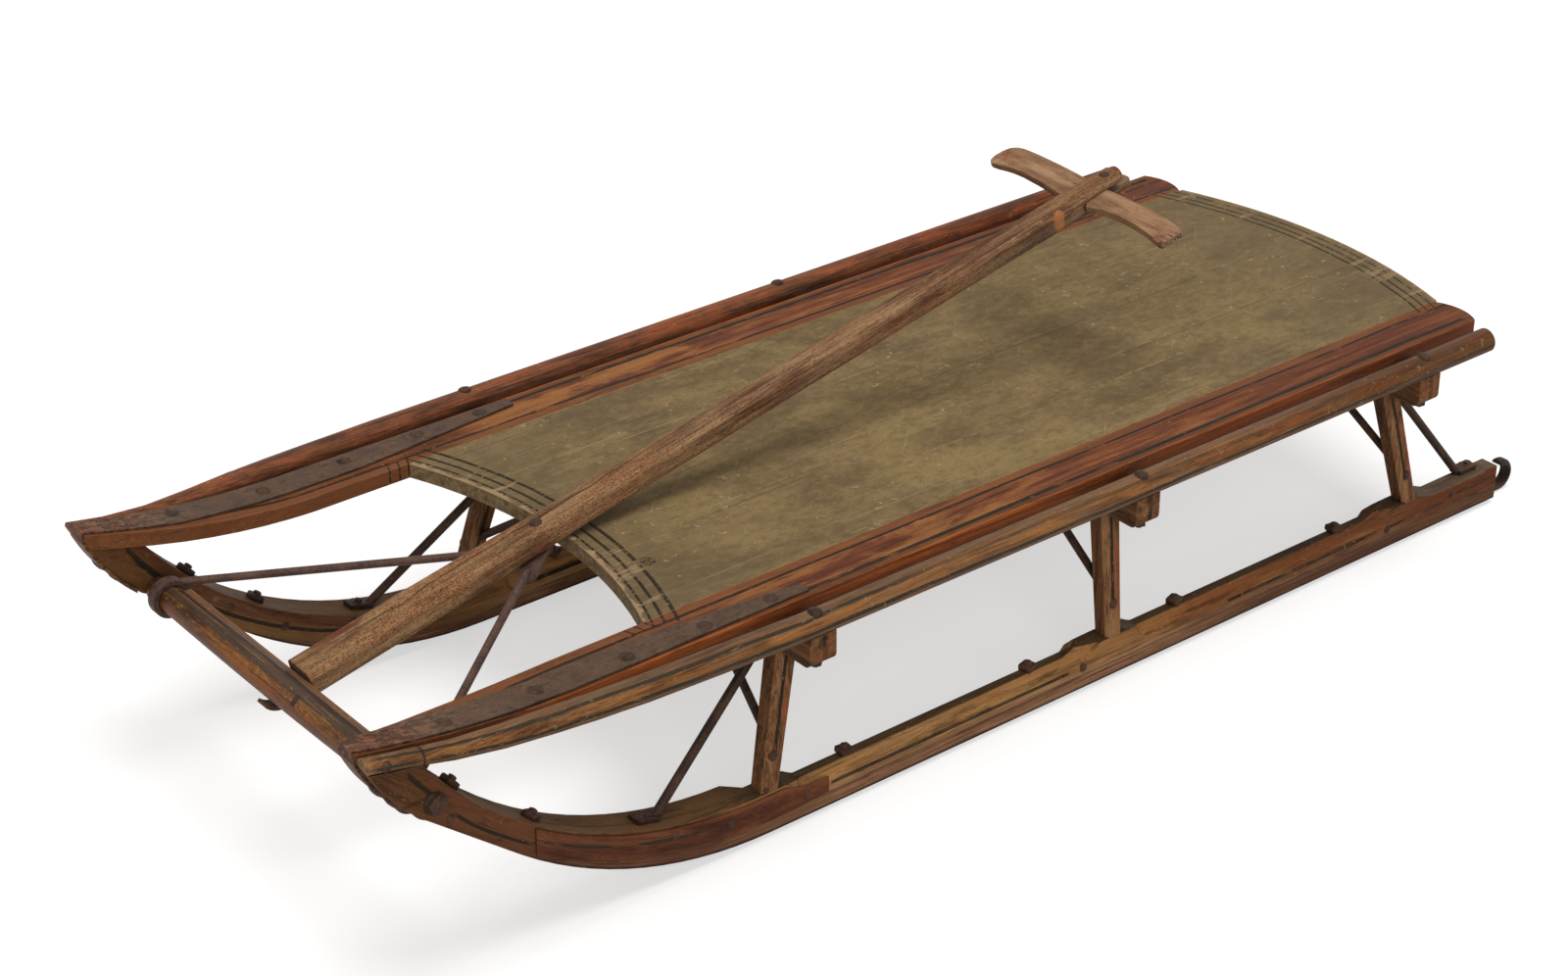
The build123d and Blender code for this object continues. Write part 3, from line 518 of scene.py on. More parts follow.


# handrails: golden varnish, with a painted highlight between a dark line on the inner top and one at the side
railLook = {
    "grain": "x",
    "colours": (tint(80, 51, 30), tint(122, 81, 47), tint(150, 106, 65)),
    "fibre": 0.42,
    "stain": 0.6,
    "rough": (0.36, 0.6),
    "shine": 0.1,
    "wornColour": tint(160, 124, 82),
    "wear": 0.5,
    "scratches": 0.6,
    "chips": 0.6,
    "chipColour": tint(150, 126, 92),
    "bump": 0.6,
}
railValues = {
    "middle": (239.0, 190.0),
    "bend": (-360.0, 404.4, 22.5, 25.5),      # start, length, inset, lift
    "path": ((0.0, 0.0, 0.0), (0.20, 0.09, 0.05), (0.36, 0.18, 0.08), (0.47, 0.29, 0.12),
             (0.56, 0.41, 0.16), (0.66, 0.58, 0.20), (0.76, 0.78, 0.31), (0.86, 0.95, 0.57),
             (1.0, 1.0, 1.0)),
    "upperLine": (56.0, 12.0),                # degrees above the level, width
    "lowerLine": (-6.0, 13.0),
    "greyTop": tint(112, 86, 64),
    "below": tint(118, 88, 62),
    "ink": tint(46, 42, 32),
    "crackAt": -692.5,
}


def railPattern(g, colour, marks):
    v = railValues
    x, y, z = g.split(marks["p"])
    wide = g.math("ABSOLUTE", y)
    start, length, inset, lift = v["bend"]
    share = g.math("DIVIDE", g.minus(start, x), length, clamp=True)
    bend = g.ramp(share, [(a, (b, c, 0, 1)) for a, b, c in v["path"]])
    parts = g.node("ShaderNodeSeparateColor", {0: bend}).outputs
    middleY = g.math("MULTIPLY_ADD", parts[0], -inset, v["middle"][0])
    middleZ = g.math("MULTIPLY_ADD", parts[1], lift, v["middle"][1])
    angle = g.math("DEGREES", g.math("ARCTAN2", g.minus(z, middleZ), g.minus(wide, middleY)))
    wobble = g.times(g.minus(g.noise(marks["p"], (0.008, 0.03, 0.03), 3, 0.6), 0.5), 34.0)
    turn = g.add(angle, wobble)
    streak = g.add(g.times(marks["fibre"], 0.45), g.times(marks["cloud"], 0.55))
    rear = g.fade(x, -60.0, 260.0)
    colour = g.blend(g.times(g.fade(turn, 62.0, 84.0), g.fade(streak, 0.36, 0.56), 0.85), colour,
                     v["greyTop"])
    colour = g.blend(g.times(g.fade(turn, -8.0, -26.0), 0.7), colour,
                     g.blend(streak, tint(70, 46, 28), v["below"]))
    # painted highlight: a golden band on the rail's upper outer side, where the light catches it
    glow = g.times(g.band(turn, 24.0, 22.0, 14.0), g.fade(streak, 0.46, 0.56), 0.5)
    colour = g.blend(glow, colour, tint(158, 100, 48))
    weathered = g.noise(marks["p"], (0.02, 0.16, 0.16), 6, 0.72)
    colour = g.blend(g.times(g.fade(weathered, 0.5, 0.6), 0.5), colour, tint(112, 90, 66))
    red = g.times(rear, g.fade(g.noise(marks["p"], (0.01, 0.08, 0.08), 4), 0.48, 0.6), 0.55)
    colour = g.blend(red, colour, tint(140, 66, 26))
    for middle, width in (v["upperLine"], v["lowerLine"]):
        mask = g.band(turn, middle, width, 5.0)
        if middle > 0:
            mask = g.times(mask, g.math("MULTIPLY_ADD", g.fade(x, -200.0, -300.0), 0.6, 0.4))
        colour = inked(g, colour, marks, mask, 0.45, v["ink"])
    crack = g.band(g.add(x, g.times(wobble, 0.05)), v["crackAt"], 1.3, 0.6)
    marks["relief"] = g.minus(marks["relief"], g.times(crack, 1.2))
    colour = g.blend(g.times(crack, 0.85), colour, tint(34, 26, 20))
    tip = g.times(g.fade(x, -726.0, -742.0), g.fade(marks["chips"], 0.46, 0.54), 0.75)
    colour = g.blend(tip, colour, tint(168, 124, 84))
    farSide = g.times(g.fade(y, 100.0, 140.0), 0.55)
    dusk = g.times(g.fade(x, 60.0, 330.0), 0.65)
    colour = g.blend(dusk, colour, tint(70, 44, 24))
    return g.blend(farSide, colour, g.blend(g.fade(streak, 0.42, 0.58), tint(60, 24, 14), tint(160, 70, 30)))


# runners: dark top, orange-brown and yellow-brown sides, one thin dark line
runnerLook = {
    "grain": "x",
    "colours": (tint(122, 84, 52), tint(166, 124, 80), tint(190, 146, 96)),
    "fibre": 0.4,
    "bent": True,
    "stain": 0.6,
    "rough": (0.45, 0.68),
    "wornColour": tint(150, 116, 78),
    "scratches": 0.5,
    "chips": 0.4,
    "hollowShade": 0.75,
}
runnerValues = {
    "bendMiddle": (-378.0, 375.0),
    "bendRadius": 375.0,
    "climb": 39.5,
    "climbPlace": (-616.5, 85.6),
    "topMiddle": (-391.5, 403.8),
    "topRadius": 365.8,
    "lineAt": 20.6,
    "lineWidth": 2.1,
    "lines": ((-316, -56), (134, 326), (338, 416)),     # where the line isn't rubbed off
    "heelLine": (424, 489, 24.0),
    "band": tint(112, 58, 32),
    "top": tint(72, 60, 44),
    "bendTop": tint(116, 86, 58),
    "yellow": tint(170, 124, 66),
    "heel": tint(118, 58, 32),
}


def heightInWood(g, x, z):
    # mm above the underside, along the bend too
    v = runnerValues
    cx, cz = v["bendMiddle"]
    turn = math.radians(v["climb"])
    dx, dz = g.minus(x, cx), g.minus(z, cz)
    radial = g.minus(v["bendRadius"], g.math("SQRT", g.add(g.times(dx, dx), g.times(dz, dz))))
    ex, ez = g.minus(x, v["climbPlace"][0]), g.minus(z, v["climbPlace"][1])
    straight = g.add(g.times(ex, math.sin(turn)), g.times(ez, math.cos(turn)))
    along = g.minus(g.times(ez, math.sin(turn)), g.times(ex, math.cos(turn)))
    bend = g.math("GREATER_THAN", along, 0.0)
    curved = g.add(g.times(straight, bend), g.times(radial, g.minus(1.0, bend)))
    flat = g.math("GREATER_THAN", x, cx)
    return g.add(g.times(z, flat), g.times(curved, g.minus(1.0, flat)))


def depthFromTop(g, x, z):
    v = runnerValues
    dx, dz = g.minus(x, v["topMiddle"][0]), g.minus(z, v["topMiddle"][1])
    return g.minus(g.math("SQRT", g.add(g.times(dx, dx), g.times(dz, dz))), v["topRadius"])


def runnerPattern(g, colour, marks):
    v = runnerValues
    x, y, z = g.split(marks["p"])
    normal = g.split(g.surface.outputs["Normal"])
    height = heightInWood(g, x, z)
    wobble = g.times(g.minus(g.noise(marks["p"], (0.009, 0.03, 0.03), 3), 0.5), 2.0)
    streak = g.add(g.times(marks["fibre"], 0.5), g.times(marks["figure"], 0.5))
    upper = g.fade(g.add(height, wobble), 23.5, 27.0)
    orange = g.fade(x, -40.0, 120.0)
    colour = g.blend(g.times(g.fade(streak, 0.4, 0.56), g.fade(height, 17.0, 23.0), 0.5), colour,
                     v["yellow"])
    colour = g.blend(g.times(orange, g.fade(marks["cloud"], 0.3, 0.5), 0.85), colour,
                     g.blend(streak, tint(74, 38, 22), tint(158, 92, 56)))
    colour = g.blend(g.times(upper, g.fade(streak, 0.42, 0.56), 0.4), colour, tint(142, 84, 42))
    colour = g.blend(g.times(g.fade(height, 20.0, 15.0), 0.6), colour,
                     g.blend(streak, tint(118, 84, 60), tint(180, 142, 104)))
    darker = g.times(g.fade(x, 20.0, 240.0), 0.5)
    colour = g.blend(darker, colour, g.blend(streak, tint(60, 34, 22), tint(100, 58, 36)))
    heel = g.fade(x, 345.0, 400.0)
    colour = g.blend(g.times(heel, 0.7), colour, g.blend(streak, tint(70, 36, 22), v["heel"]))
    facingOut = g.times(normal[1], g.math("SIGN", y))
    outer = g.fade(facingOut, 0.1, 0.5)
    bendShade = g.times(g.fade(x, -400.0, -440.0), outer, 0.92)
    colour = g.blend(bendShade, colour, g.blend(streak, tint(64, 36, 25), tint(118, 70, 46)))
    inner = g.times(g.fade(x, -330.0, -420.0), g.fade(facingOut, -0.1, -0.5), 0.85)
    reach = depthFromTop(g, x, z)
    colour = g.blend(inner, colour, g.blend(g.fade(reach, 9.0, 13.0),
                                            g.blend(streak, tint(52, 28, 22), tint(104, 58, 42)),
                                            g.blend(streak, tint(78, 54, 32), tint(136, 98, 54))))
    patch = g.blend(streak, tint(74, 47, 30), tint(118, 78, 44))
    colour = g.blend(g.times(g.fade(x, -686.0, -694.0), 0.8), colour, patch)
    place = g.add(height, g.times(wobble, 0.5))
    line = g.band(place, v["lineAt"], v["lineWidth"], 0.45)
    shown = g.between(x, *v["lines"][0])
    for start, stop in v["lines"][1:]:
        shown = g.add(shown, g.between(x, start, stop))
    colour = inked(g, colour, marks, g.times(line, shown), 0.2)
    start, stop, high = v["heelLine"]
    colour = inked(g, colour, marks, g.times(g.band(place, high, 1.8, 0.5),
                                             g.between(x, start, stop)), 0.55)
    depth = g.add(depthFromTop(g, x, z), wobble)
    bendLine = g.times(g.band(depth, 12.0, 3.0, 0.9), g.between(x, -705.0, -676.0, 2.0))
    colour = inked(g, colour, marks, bendLine, 0.2)
    plateLine = g.times(g.band(depth, 14.4, 2.2, 0.7), g.between(x, -668.0, -586.0, 4.0), outer)
    colour = inked(g, colour, marks, plateLine, 0.5)
    innerLine = g.times(g.band(depth, 14.0, 2.8, 0.7), g.between(x, -700.0, -430.0, 4.0),
                        g.fade(facingOut, -0.1, -0.5))
    colour = inked(g, colour, marks, innerLine, 0.45)
    stain = g.times(g.fade(g.noise(marks["p"], (0.012, 0.1, 0.1), 5, 0.7), 0.56, 0.66), 0.6)
    colour = g.blend(stain, colour, tint(54, 38, 26))
    # tops and chamfers
    facing = g.fade(normal[2], 0.74, 0.82)
    shade = g.blend(streak, tint(50, 42, 32), v["top"])
    facing = g.math("MAXIMUM", facing, g.times(g.fade(x, -388.0, -396.0), g.fade(normal[2], 0.2, 0.3)))
    shade = g.blend(g.fade(x, -385.0, -430.0), shade, g.blend(streak, tint(88, 64, 42), v["bendTop"]))
    shade = g.blend(g.times(heel, 0.8), shade, g.blend(streak, tint(84, 72, 58), tint(122, 104, 82)))
    return g.blend(g.times(facing, 0.88), colour, shade)


soleLook = {
    "grain": "x",
    "colours": (tint(98, 66, 47), tint(142, 102, 74), tint(170, 126, 95)),
    "fibre": 0.45,
    "bent": True,
    "rough": (0.5, 0.72),
    "wornColour": tint(150, 112, 84),
    "scratches": 0.8,
    "scratchColour": tint(160, 120, 92),
    "chips": 0.35,
}


def solePattern(g, colour, marks):
    x, y, z = g.split(marks["p"])
    height = heightInWood(g, x, z)
    seam = g.fade(height, 11.4, 12.8)
    colour = g.blend(g.times(seam, g.fade(x, -330.0, -300.0), 0.7), colour, tint(48, 32, 22))
    colour = g.blend(g.times(g.fade(x, -40.0, 200.0), 0.72), colour,
                     g.blend(marks["fibre"], tint(52, 32, 22), tint(104, 68, 48)))
    colour = g.blend(g.times(g.fade(x, -330.0, -420.0), 0.6), colour,
                     g.blend(marks["fibre"], tint(58, 34, 26), tint(106, 62, 46)))
    return g.blend(g.fade(height, 3.2, 0.6), colour, tint(44, 32, 24))


# side plates: thin, painted with the runner
plateLook = {
    "grain": "x",
    "colours": (tint(70, 38, 26), tint(100, 60, 41), tint(124, 76, 50)),
    "fibre": 0.3,
    "bent": True,
    "pores": 0.3,
    "relief": 0.2,
    "rough": (0.42, 0.62),
    "wornColour": tint(128, 84, 56),
    "scratches": 0.45,
    "scratchColour": tint(138, 92, 60),
    "chips": 0.4,
    "chipColour": tint(126, 86, 60),
    "bump": 0.4,
}


def platePattern(g, colour, marks):
    x, y, z = g.split(marks["p"])
    wobble = g.times(g.minus(g.noise(marks["p"], (0.012, 0.04, 0.04), 3), 0.5), 2.4)
    depth = g.add(depthFromTop(g, x, z), wobble, g.times(g.fade(x, -590.0, -650.0), -4.0))
    line = g.times(g.band(depth, 10.4, 2.2, 0.7), g.between(x, -668.0, -436.0, 4.0))
    colour = inked(g, colour, marks, line, 0.5, tint(52, 44, 38))
    bright = g.times(g.fade(marks["cloud"], 0.48, 0.6), g.fade(x, -520.0, -400.0), 0.6)
    return g.blend(bright, colour, tint(134, 74, 44))


# posts: dark in front, partly their paint and partly painted shade, orange-brown outside with one upright
# line
postLook = {
    "grain": "z",
    "colours": (tint(92, 60, 40), tint(132, 92, 62), tint(158, 116, 80)),
    "fibre": 0.42,
    "rough": (0.45, 0.66),
    "wornColour": tint(176, 134, 88),
    "wear": 0.9,
    "edge": 0.0016,
    "scratches": 0.45,
    "chips": 0.4,
    "hollowShade": 0.7,
}
postValues = {"feet": (-377.5, -4.0, 369.5), "tops": (-346.5, 0.0, 346.5), "heights": (38.0, 156.0),
              "lineAt": -1.8, "lineWidth": 3.0}


def postPattern(place):
    def pattern(g, colour, marks):
        v = postValues
        x, y, z = g.split(marks["p"])
        normal = g.split(g.surface.outputs["Normal"])
        low, high = v["heights"]
        i = places.index(place)
        share = g.math("DIVIDE", g.minus(z, low), high - low)
        middle = g.math("MULTIPLY_ADD", share, v["tops"][i] - v["feet"][i], v["feet"][i])
        across = g.minus(x, middle)
        streak = g.add(g.times(marks["fibre"], 0.5), g.times(marks["figure"], 0.5))
        red = g.times(g.fade(across, -1.0, 2.0), g.fade(marks["cloud"], 0.4, 0.56), 0.6)
        colour = g.blend(red, colour, tint(150, 78, 46))
        wobble = g.times(g.minus(g.noise(marks["p"], (0.05, 0.05, 0.02), 2), 0.5), 1.4)
        line = g.band(g.add(across, wobble), v["lineAt"], v["lineWidth"], 0.5)
        outer = g.fade(g.math("ABSOLUTE", normal[1]), 0.75, 0.9)
        colour = inked(g, colour, marks, g.times(line, outer, g.fade(z, 62.0, 70.0)), 0.35)
        bare = g.times(g.fade(z, 70.0, 44.0), g.fade(marks["cloud"], 0.42, 0.56), 0.6)
        colour = g.blend(bare, colour, tint(150, 112, 72))
        # front and back faces darker, partly their paint and partly painted shade
        ends = g.fade(g.math("ABSOLUTE", normal[0]), 0.8, 0.95)
        shade = g.blend(g.fade(streak, 0.38, 0.62), tint(66, 42, 26), tint(128, 86, 56))
        return g.blend(g.times(ends, 0.85), colour, shade)
    return pattern


# beams: brown ends with one upright line, plain wood under the deck
beamLook = {
    "grain": "y",
    "colours": (tint(76, 52, 35), tint(108, 76, 52), tint(134, 98, 66)),
    "fibre": 0.4,
    "rough": (0.5, 0.7),
    "wornColour": tint(158, 124, 84),
    "scratches": 0.4,
    "chips": 0.45,
    "hollowShade": 0.7,
}


def beamPattern(middle):
    def pattern(g, colour, marks):
        x, y, z = g.split(marks["p"])
        wide = g.math("ABSOLUTE", y)
        line = g.times(g.band(g.minus(x, middle), 2.0, 4.6, 0.6), g.fade(wide, 236.0, 241.0))
        colour = inked(g, colour, marks, line, 0.0)
        red = g.times(g.fade(wide, 236.0, 246.0), g.fade(marks["cloud"], 0.44, 0.56), 0.45)
        return g.blend(red, colour, tint(140, 84, 46))
    return pattern


# crossbar: worn orange-brown varnish, a painted golden highlight on the crown, a grey line and a lighter
# strip behind
barLook = {
    "grain": "y",
    "colours": (tint(70, 42, 25), tint(104, 66, 40), tint(130, 88, 54)),
    "fibre": 0.4,
    "rough": (0.34, 0.56),
    "shine": 0.13,
    "wornColour": tint(166, 126, 80),
    "scratches": 0.7,
    "scratchColour": tint(184, 138, 78),
    "chips": 0.6,
    "chipColour": tint(170, 122, 62),
    "hollowShade": 0.6,
}
barValues = {"middle": (-681.0, 148.0), "stripFrom": -675.0, "nick": (-38.0, 5.0)}


def barPattern(g, colour, marks):
    v = barValues
    x, y, z = g.split(marks["p"])
    angle = g.math("DEGREES", g.math("ARCTAN2", g.minus(z, v["middle"][1]),
                                     g.minus(v["middle"][0], x)))
    wobble = g.times(g.minus(g.noise(marks["p"], (0.05, 0.012, 0.05), 3, 0.6), 0.5), 30.0)
    turn = g.add(angle, wobble)
    streak = g.add(g.times(marks["fibre"], 0.5), g.times(marks["cloud"], 0.5))
    # painted highlight: a golden band on the bar's upper front, where the light catches its crown
    crownHighlight = g.times(g.band(turn, 34.0, 26.0, 16.0), g.fade(streak, 0.46, 0.54), 0.75)
    colour = g.blend(crownHighlight, colour, tint(138, 86, 40))
    amber = g.times(g.band(turn, 8.0, 30.0, 14.0), g.fade(marks["cloud"], 0.42, 0.56), 0.6)
    colour = g.blend(amber, colour, tint(150, 84, 34))
    bitten = g.noise(marks["p"], (0.6, 0.14, 0.6), 6, 0.75)
    colour = g.blend(g.times(g.fade(bitten, 0.56, 0.6), g.band(turn, 44.0, 10.0, 12.0), 0.6), colour,
                     tint(186, 140, 84))
    colour = g.blend(g.times(g.fade(bitten, 0.45, 0.40), 0.5), colour, tint(56, 34, 20))
    grey = g.times(g.band(turn, 76.0, 28.0, 6.0), 0.82)
    colour = g.blend(grey, colour, g.blend(streak, tint(42, 35, 28), tint(84, 70, 54)))
    colour = inked(g, colour, marks, g.band(turn, 108.0, 16.0, 4.0), 0.1, tint(28, 24, 20))
    red = g.times(g.fade(turn, 8.0, -20.0), 0.6)
    colour = g.blend(red, colour, g.blend(streak, tint(66, 38, 24), tint(116, 62, 34)))
    strip = g.times(g.fade(x, v["stripFrom"], v["stripFrom"] + 2.5), 0.85)
    colour = g.blend(strip, colour, g.blend(streak, tint(78, 52, 36), tint(142, 104, 76)))
    place, size = v["nick"]
    nick = g.times(g.band(g.add(y, g.times(wobble, 0.1)), place, size, 1.0), g.fade(turn, 16.0, 30.0),
                   g.fade(turn, 76.0, 62.0))
    marks["relief"] = g.minus(marks["relief"], g.times(nick, 1.2))
    return g.blend(g.times(nick, 0.85), colour, tint(40, 30, 22))


# tongue: weathered pole with remains of red paint, tan crackle, a split near its base
poleLook = {
    "grain": "x",
    "space": onPole,
    "colours": (tint(88, 60, 42), tint(126, 92, 65), tint(160, 126, 94)),
    "fibre": 0.5,
    "cloudScale": (0.02, 0.07),
    "figureScale": (0.006, 0.05),
    "pores": 0.55,
    "specks": 0.7,
    "relief": 0.7,
    "rough": (0.55, 0.78),
    "wornColour": tint(172, 138, 104),
    "scratches": 0.8,
    "scratchColour": tint(178, 142, 104),
    "chips": 0.5,
    "chipColour": tint(172, 140, 104),
    "hollowShade": 0.45,
    "bump": 0.8,
}
poleValues = {"split": (60.0, 360.0, 3.5), "spot": (797.0, -13.0)}


def polePattern(g, colour, marks):
    v = poleValues
    s, t, u = g.split(marks["p"])
    remains = g.fade(g.noise(marks["p"], (0.010, 0.06, 0.06), 5, 0.68, 0.6), 0.50, 0.60)
    base = g.fade(s, 560.0, 180.0)
    colour = g.blend(g.times(remains, g.math("MULTIPLY_ADD", base, 0.6, 0.3)), colour,
                     tint(116, 60, 42))
    grey = g.times(g.fade(g.noise(marks["p"], (0.008, 0.05, 0.05), 4), 0.5, 0.62),
                   g.fade(s, 300.0, 640.0), 0.5)
    colour = g.blend(grey, colour, tint(118, 106, 88))
    crackle = g.node("ShaderNodeTexVoronoi", {
        "Vector": g.mapped(marks["p"], (0.32, 0.8, 0.8)), "Scale": 1.0},
        feature="DISTANCE_TO_EDGE").outputs[0]
    fine = g.noise(marks["p"], (0.22, 0.7, 0.7), 4, 0.7)
    crazed = g.math("MAXIMUM", g.fade(crackle, 0.16, 0.05), g.fade(fine, 0.54, 0.6))
    crazed = g.times(crazed, 0.8, g.fade(g.noise(marks["p"], (0.01, 0.03, 0.03), 4), 0.40, 0.54),
                     g.math("MULTIPLY_ADD", base, 0.45, 0.4))
    colour = g.blend(g.times(g.fade(fine, 0.47, 0.41), 0.6), colour, tint(84, 52, 38))
    colour = g.blend(crazed, colour, tint(182, 142, 98))
    start, stop, side = v["split"]
    path = g.add(t, g.times(g.minus(g.noise(marks["p"], (0.014, 0.02, 0.02), 3), 0.5), 16.0))
    split = g.times(g.band(path, side, 0.5, 0.6), g.between(s, start, stop, 25.0))
    colour = g.blend(g.times(split, 0.85), colour, tint(40, 27, 20))
    marks["relief"] = g.minus(marks["relief"], g.add(g.times(split, 1.1), g.times(crazed, 0.3)))
    near = g.math("SQRT", g.add(g.math("POWER", g.times(g.minus(s, v["spot"][0]), 0.7), 2.0),
                                g.math("POWER", g.minus(t, v["spot"][1]), 2.0)))
    near = g.add(near, g.times(g.minus(marks["chips"], 0.5), 8.0))
    return g.blend(g.times(g.fade(near, 5.0, 2.5), 0.8), colour, tint(186, 124, 76))


gripLook = dict(poleLook, grain="y", colours=(tint(126, 92, 68), tint(154, 117, 87), tint(174, 137, 104)),
                fibre=0.3, pores=0.3, wornColour=tint(182, 148, 112))


def gripPattern(g, colour, marks):
    s, t, u = g.split(marks["p"])
    redEnd = g.times(g.fade(g.math("ABSOLUTE", t), 74.0, 108.0),
                     g.fade(g.noise(marks["p"], (0.06, 0.03, 0.06), 5, 0.7), 0.5, 0.62), 0.7)
    colour = g.blend(redEnd, colour, tint(118, 62, 46))
    broken = g.fade(g.add(t, g.times(g.minus(marks["chips"], 0.5), 10.0)), -106.0, -109.5)
    return g.blend(g.times(broken, 0.85), colour, g.blend(g.fade(marks["fibre"], 0.4, 0.6),
                                                        tint(66, 42, 34), tint(178, 140, 116)))


ironLooks = {
    "rodIron": {"colours": (tint(42, 32, 27), tint(66, 50, 42), tint(92, 74, 62))},
    "shoeIron": {"colours": (tint(38, 29, 24), tint(58, 45, 36), tint(88, 72, 58)), "bump": 0.7},
    "yokeIron": {"colours": (tint(54, 40, 36), tint(86, 66, 58), tint(108, 86, 74)),
                 "rust": tint(98, 50, 38)},
    "strapIron": {"colours": (tint(64, 48, 38), tint(88, 68, 54), tint(110, 88, 70)), "metal": 0.0,
                  "rust": tint(96, 58, 42), "bump": 0.8},
    "hookIron": {"colours": (tint(66, 38, 26), tint(98, 62, 42), tint(124, 84, 60)), "metal": 0.0},
    "boltIron": {"colours": (tint(42, 30, 24), tint(70, 50, 39), tint(98, 74, 58)), "bump": 0.8},
}


def strapPattern(g, colour, p, flake):
    # the paint on the nose goes over the strap
    x = g.split(p)[0]
    painted = g.times(g.fade(g.add(x, g.times(flake, 60.0)), -640.0, -670.0), 0.75)
    blot = g.times(g.fade(flake, 0.5, 0.6), g.fade(x, -690.0, -700.0), g.fade(x, -722.0, -712.0))
    colour = g.blend(painted, colour, g.blend(g.fade(flake, 0.4, 0.6), tint(62, 36, 26),
                                              tint(128, 80, 54)))
    chipped = g.noise(p, (0.1, 0.22, 0.2), 6, 0.72)
    bare = g.times(g.fade(chipped, 0.53, 0.57), g.fade(x, -612.0, -716.0), 0.45)
    colour = g.blend(bare, colour, tint(160, 116, 82))
    colour = g.blend(g.times(g.fade(chipped, 0.44, 0.40), 0.6), colour, tint(46, 34, 28))
    return g.blend(g.times(blot, 0.8), colour, tint(40, 34, 30))


ironMade = {name: iron(name, look, strapPattern if name == "strapIron" else None)
            for name, look in ironLooks.items()}
woodMade = {
    "deck": wood("deckPaint", deckLook, deckPattern),
    "side_board": wood("sideBoardPaint", sideLook, sidePattern),
    "handrail": wood("railVarnish", railLook, railPattern),
    "runner": wood("runnerWood", runnerLook, runnerPattern),
    "sole": wood("soleWood", soleLook, solePattern),
    "side_plate": wood("platePaint", plateLook, platePattern),
    "crossbar": wood("barVarnish", barLook, barPattern),
    "tongue_pole": wood("poleWood", poleLook, polePattern),
    "grip": wood("gripWood", gripLook, gripPattern),
}
for i, place in enumerate(places):
    woodMade["post_" + place] = wood("postWood_" + place, postLook, postPattern(place))
    woodMade["beam_" + place] = wood("beamWood_" + place, beamLook,
                                     beamPattern(postValues["tops"][i]))
ironParts = {"shoe": "shoeIron", "knee": "rodIron", "brace": "rodIron", "yoke": "yokeIron",
             "strap": "strapIron", "hook": "hookIron"}


def finishFor(node):
    for start, material in woodMade.items():
        if node.startswith(start):
            return material
    return ironMade[next(look for start, look in ironParts.items() if node.startswith(start))]


for name, node in nodes.items():
    if not node.data.materials:
        node.data.materials.append(None)
    for materialSlot in node.material_slots:
        materialSlot.link = "OBJECT"
        materialSlot.material = finishFor(name)
print("stage 3: finishes on the CAD nodes")

# small fasteners
random.seed(7)
surfaces = {}


def onSurface(node, start, direction):
    # the point and normal where a line first meets a CAD node
    if node not in surfaces:
        mesh = nodes[node].data
        surfaces[node] = BVHTree.FromPolygons([v.co.copy() for v in mesh.vertices],
                                              [list(f.vertices) for f in mesh.polygons])
    point, normal, _, _ = surfaces[node].ray_cast(start, Vector(direction).normalized())
    if point is None:
        raise ValueError(f"nothing of {node} lies at {tuple(start)}")
    if normal.dot(Vector(direction)) > 0:
        normal = -normal
    return point, normal


def seat(point, normal, spin=0.0):
    # from a fastener's own space, in mm with Z outwards, to the frame
    turn = normal.to_track_quat("Z", "Y").to_matrix().to_4x4()
    return (Matrix.Translation(point) @ turn @ Matrix.Rotation(spin, 4, "Z")
            @ Matrix.Diagonal((0.001, 0.001, 0.001, 1)))


def turned(bm, profile, matrix, steps=20):
    # a round part from its profile of (radius, height) in mm
    made = [bm.verts.new((radius, 0, height)) for radius, height in profile]
    edges = [bm.edges.new(pair) for pair in zip(made, made[1:])]
    spun = bmesh.ops.spin(bm, geom=made + edges, cent=(0, 0, 0), axis=(0, 0, 1),
                          angle=2 * math.pi, steps=steps, use_merge=True, use_duplicate=False)
    verts = {v for v in made if v.is_valid}
    frontier = list(verts)
    while frontier:
        for edge in frontier.pop().link_edges:
            for v in edge.verts:
                if v not in verts:
                    verts.add(v)
                    frontier.append(v)
    bmesh.ops.remove_doubles(bm, verts=list(verts), dist=1e-4)
    verts = [v for v in verts if v.is_valid]
    faces = list({f for v in verts for f in v.link_faces})
    bmesh.ops.recalc_face_normals(bm, faces=faces)
    bmesh.ops.transform(bm, matrix=matrix, verts=verts)
    return spun


def squareNut(bm, matrix, size, height, hole):
    block = set(bmesh.ops.create_cube(bm, size=1)["verts"])
    bmesh.ops.scale(bm, vec=(size, size, height + 1), verts=list(block))
    bmesh.ops.translate(bm, vec=(0, 0, (height - 1) / 2), verts=list(block))
    edges = [e for e in bm.edges if e.verts[0] in block]
    worn = bmesh.ops.bevel(bm, geom=edges, offset=0.13 * size, segments=2, profile=0.5,
                           affect="EDGES", material=-1)
    verts = set(worn["verts"]) | {v for v in block if v.is_valid}
    verts = {v for f in {f for v in verts for f in v.link_faces} for v in f.verts}
    verts = [v for v in bm.verts if v in verts]
    for v in verts:
        v.co += Vector([random.uniform(-0.25, 0.25) for _ in range(3)])
    bmesh.ops.transform(bm, matrix=matrix, verts=verts)
    turned(bm, [(0, height + 2.6), (0.6 * hole, height + 2.5), (hole, height + 1.9),
                (hole, height - 1)], matrix, 14)


def slottedScrew(bm, matrix, radius, crown):
    turned(bm, [(0, crown), (0.5 * radius, 0.92 * crown), (0.86 * radius, 0.6 * crown),
                (radius, 0.1 * crown), (radius, -1.0)], matrix, 24)


def washer(bm, matrix, radius, hole, height):
    turned(bm, [(hole, -0.6), (hole, height), (radius - 0.5, height), (radius, 0.6 * height),
                (radius, -0.6)], matrix, 24)


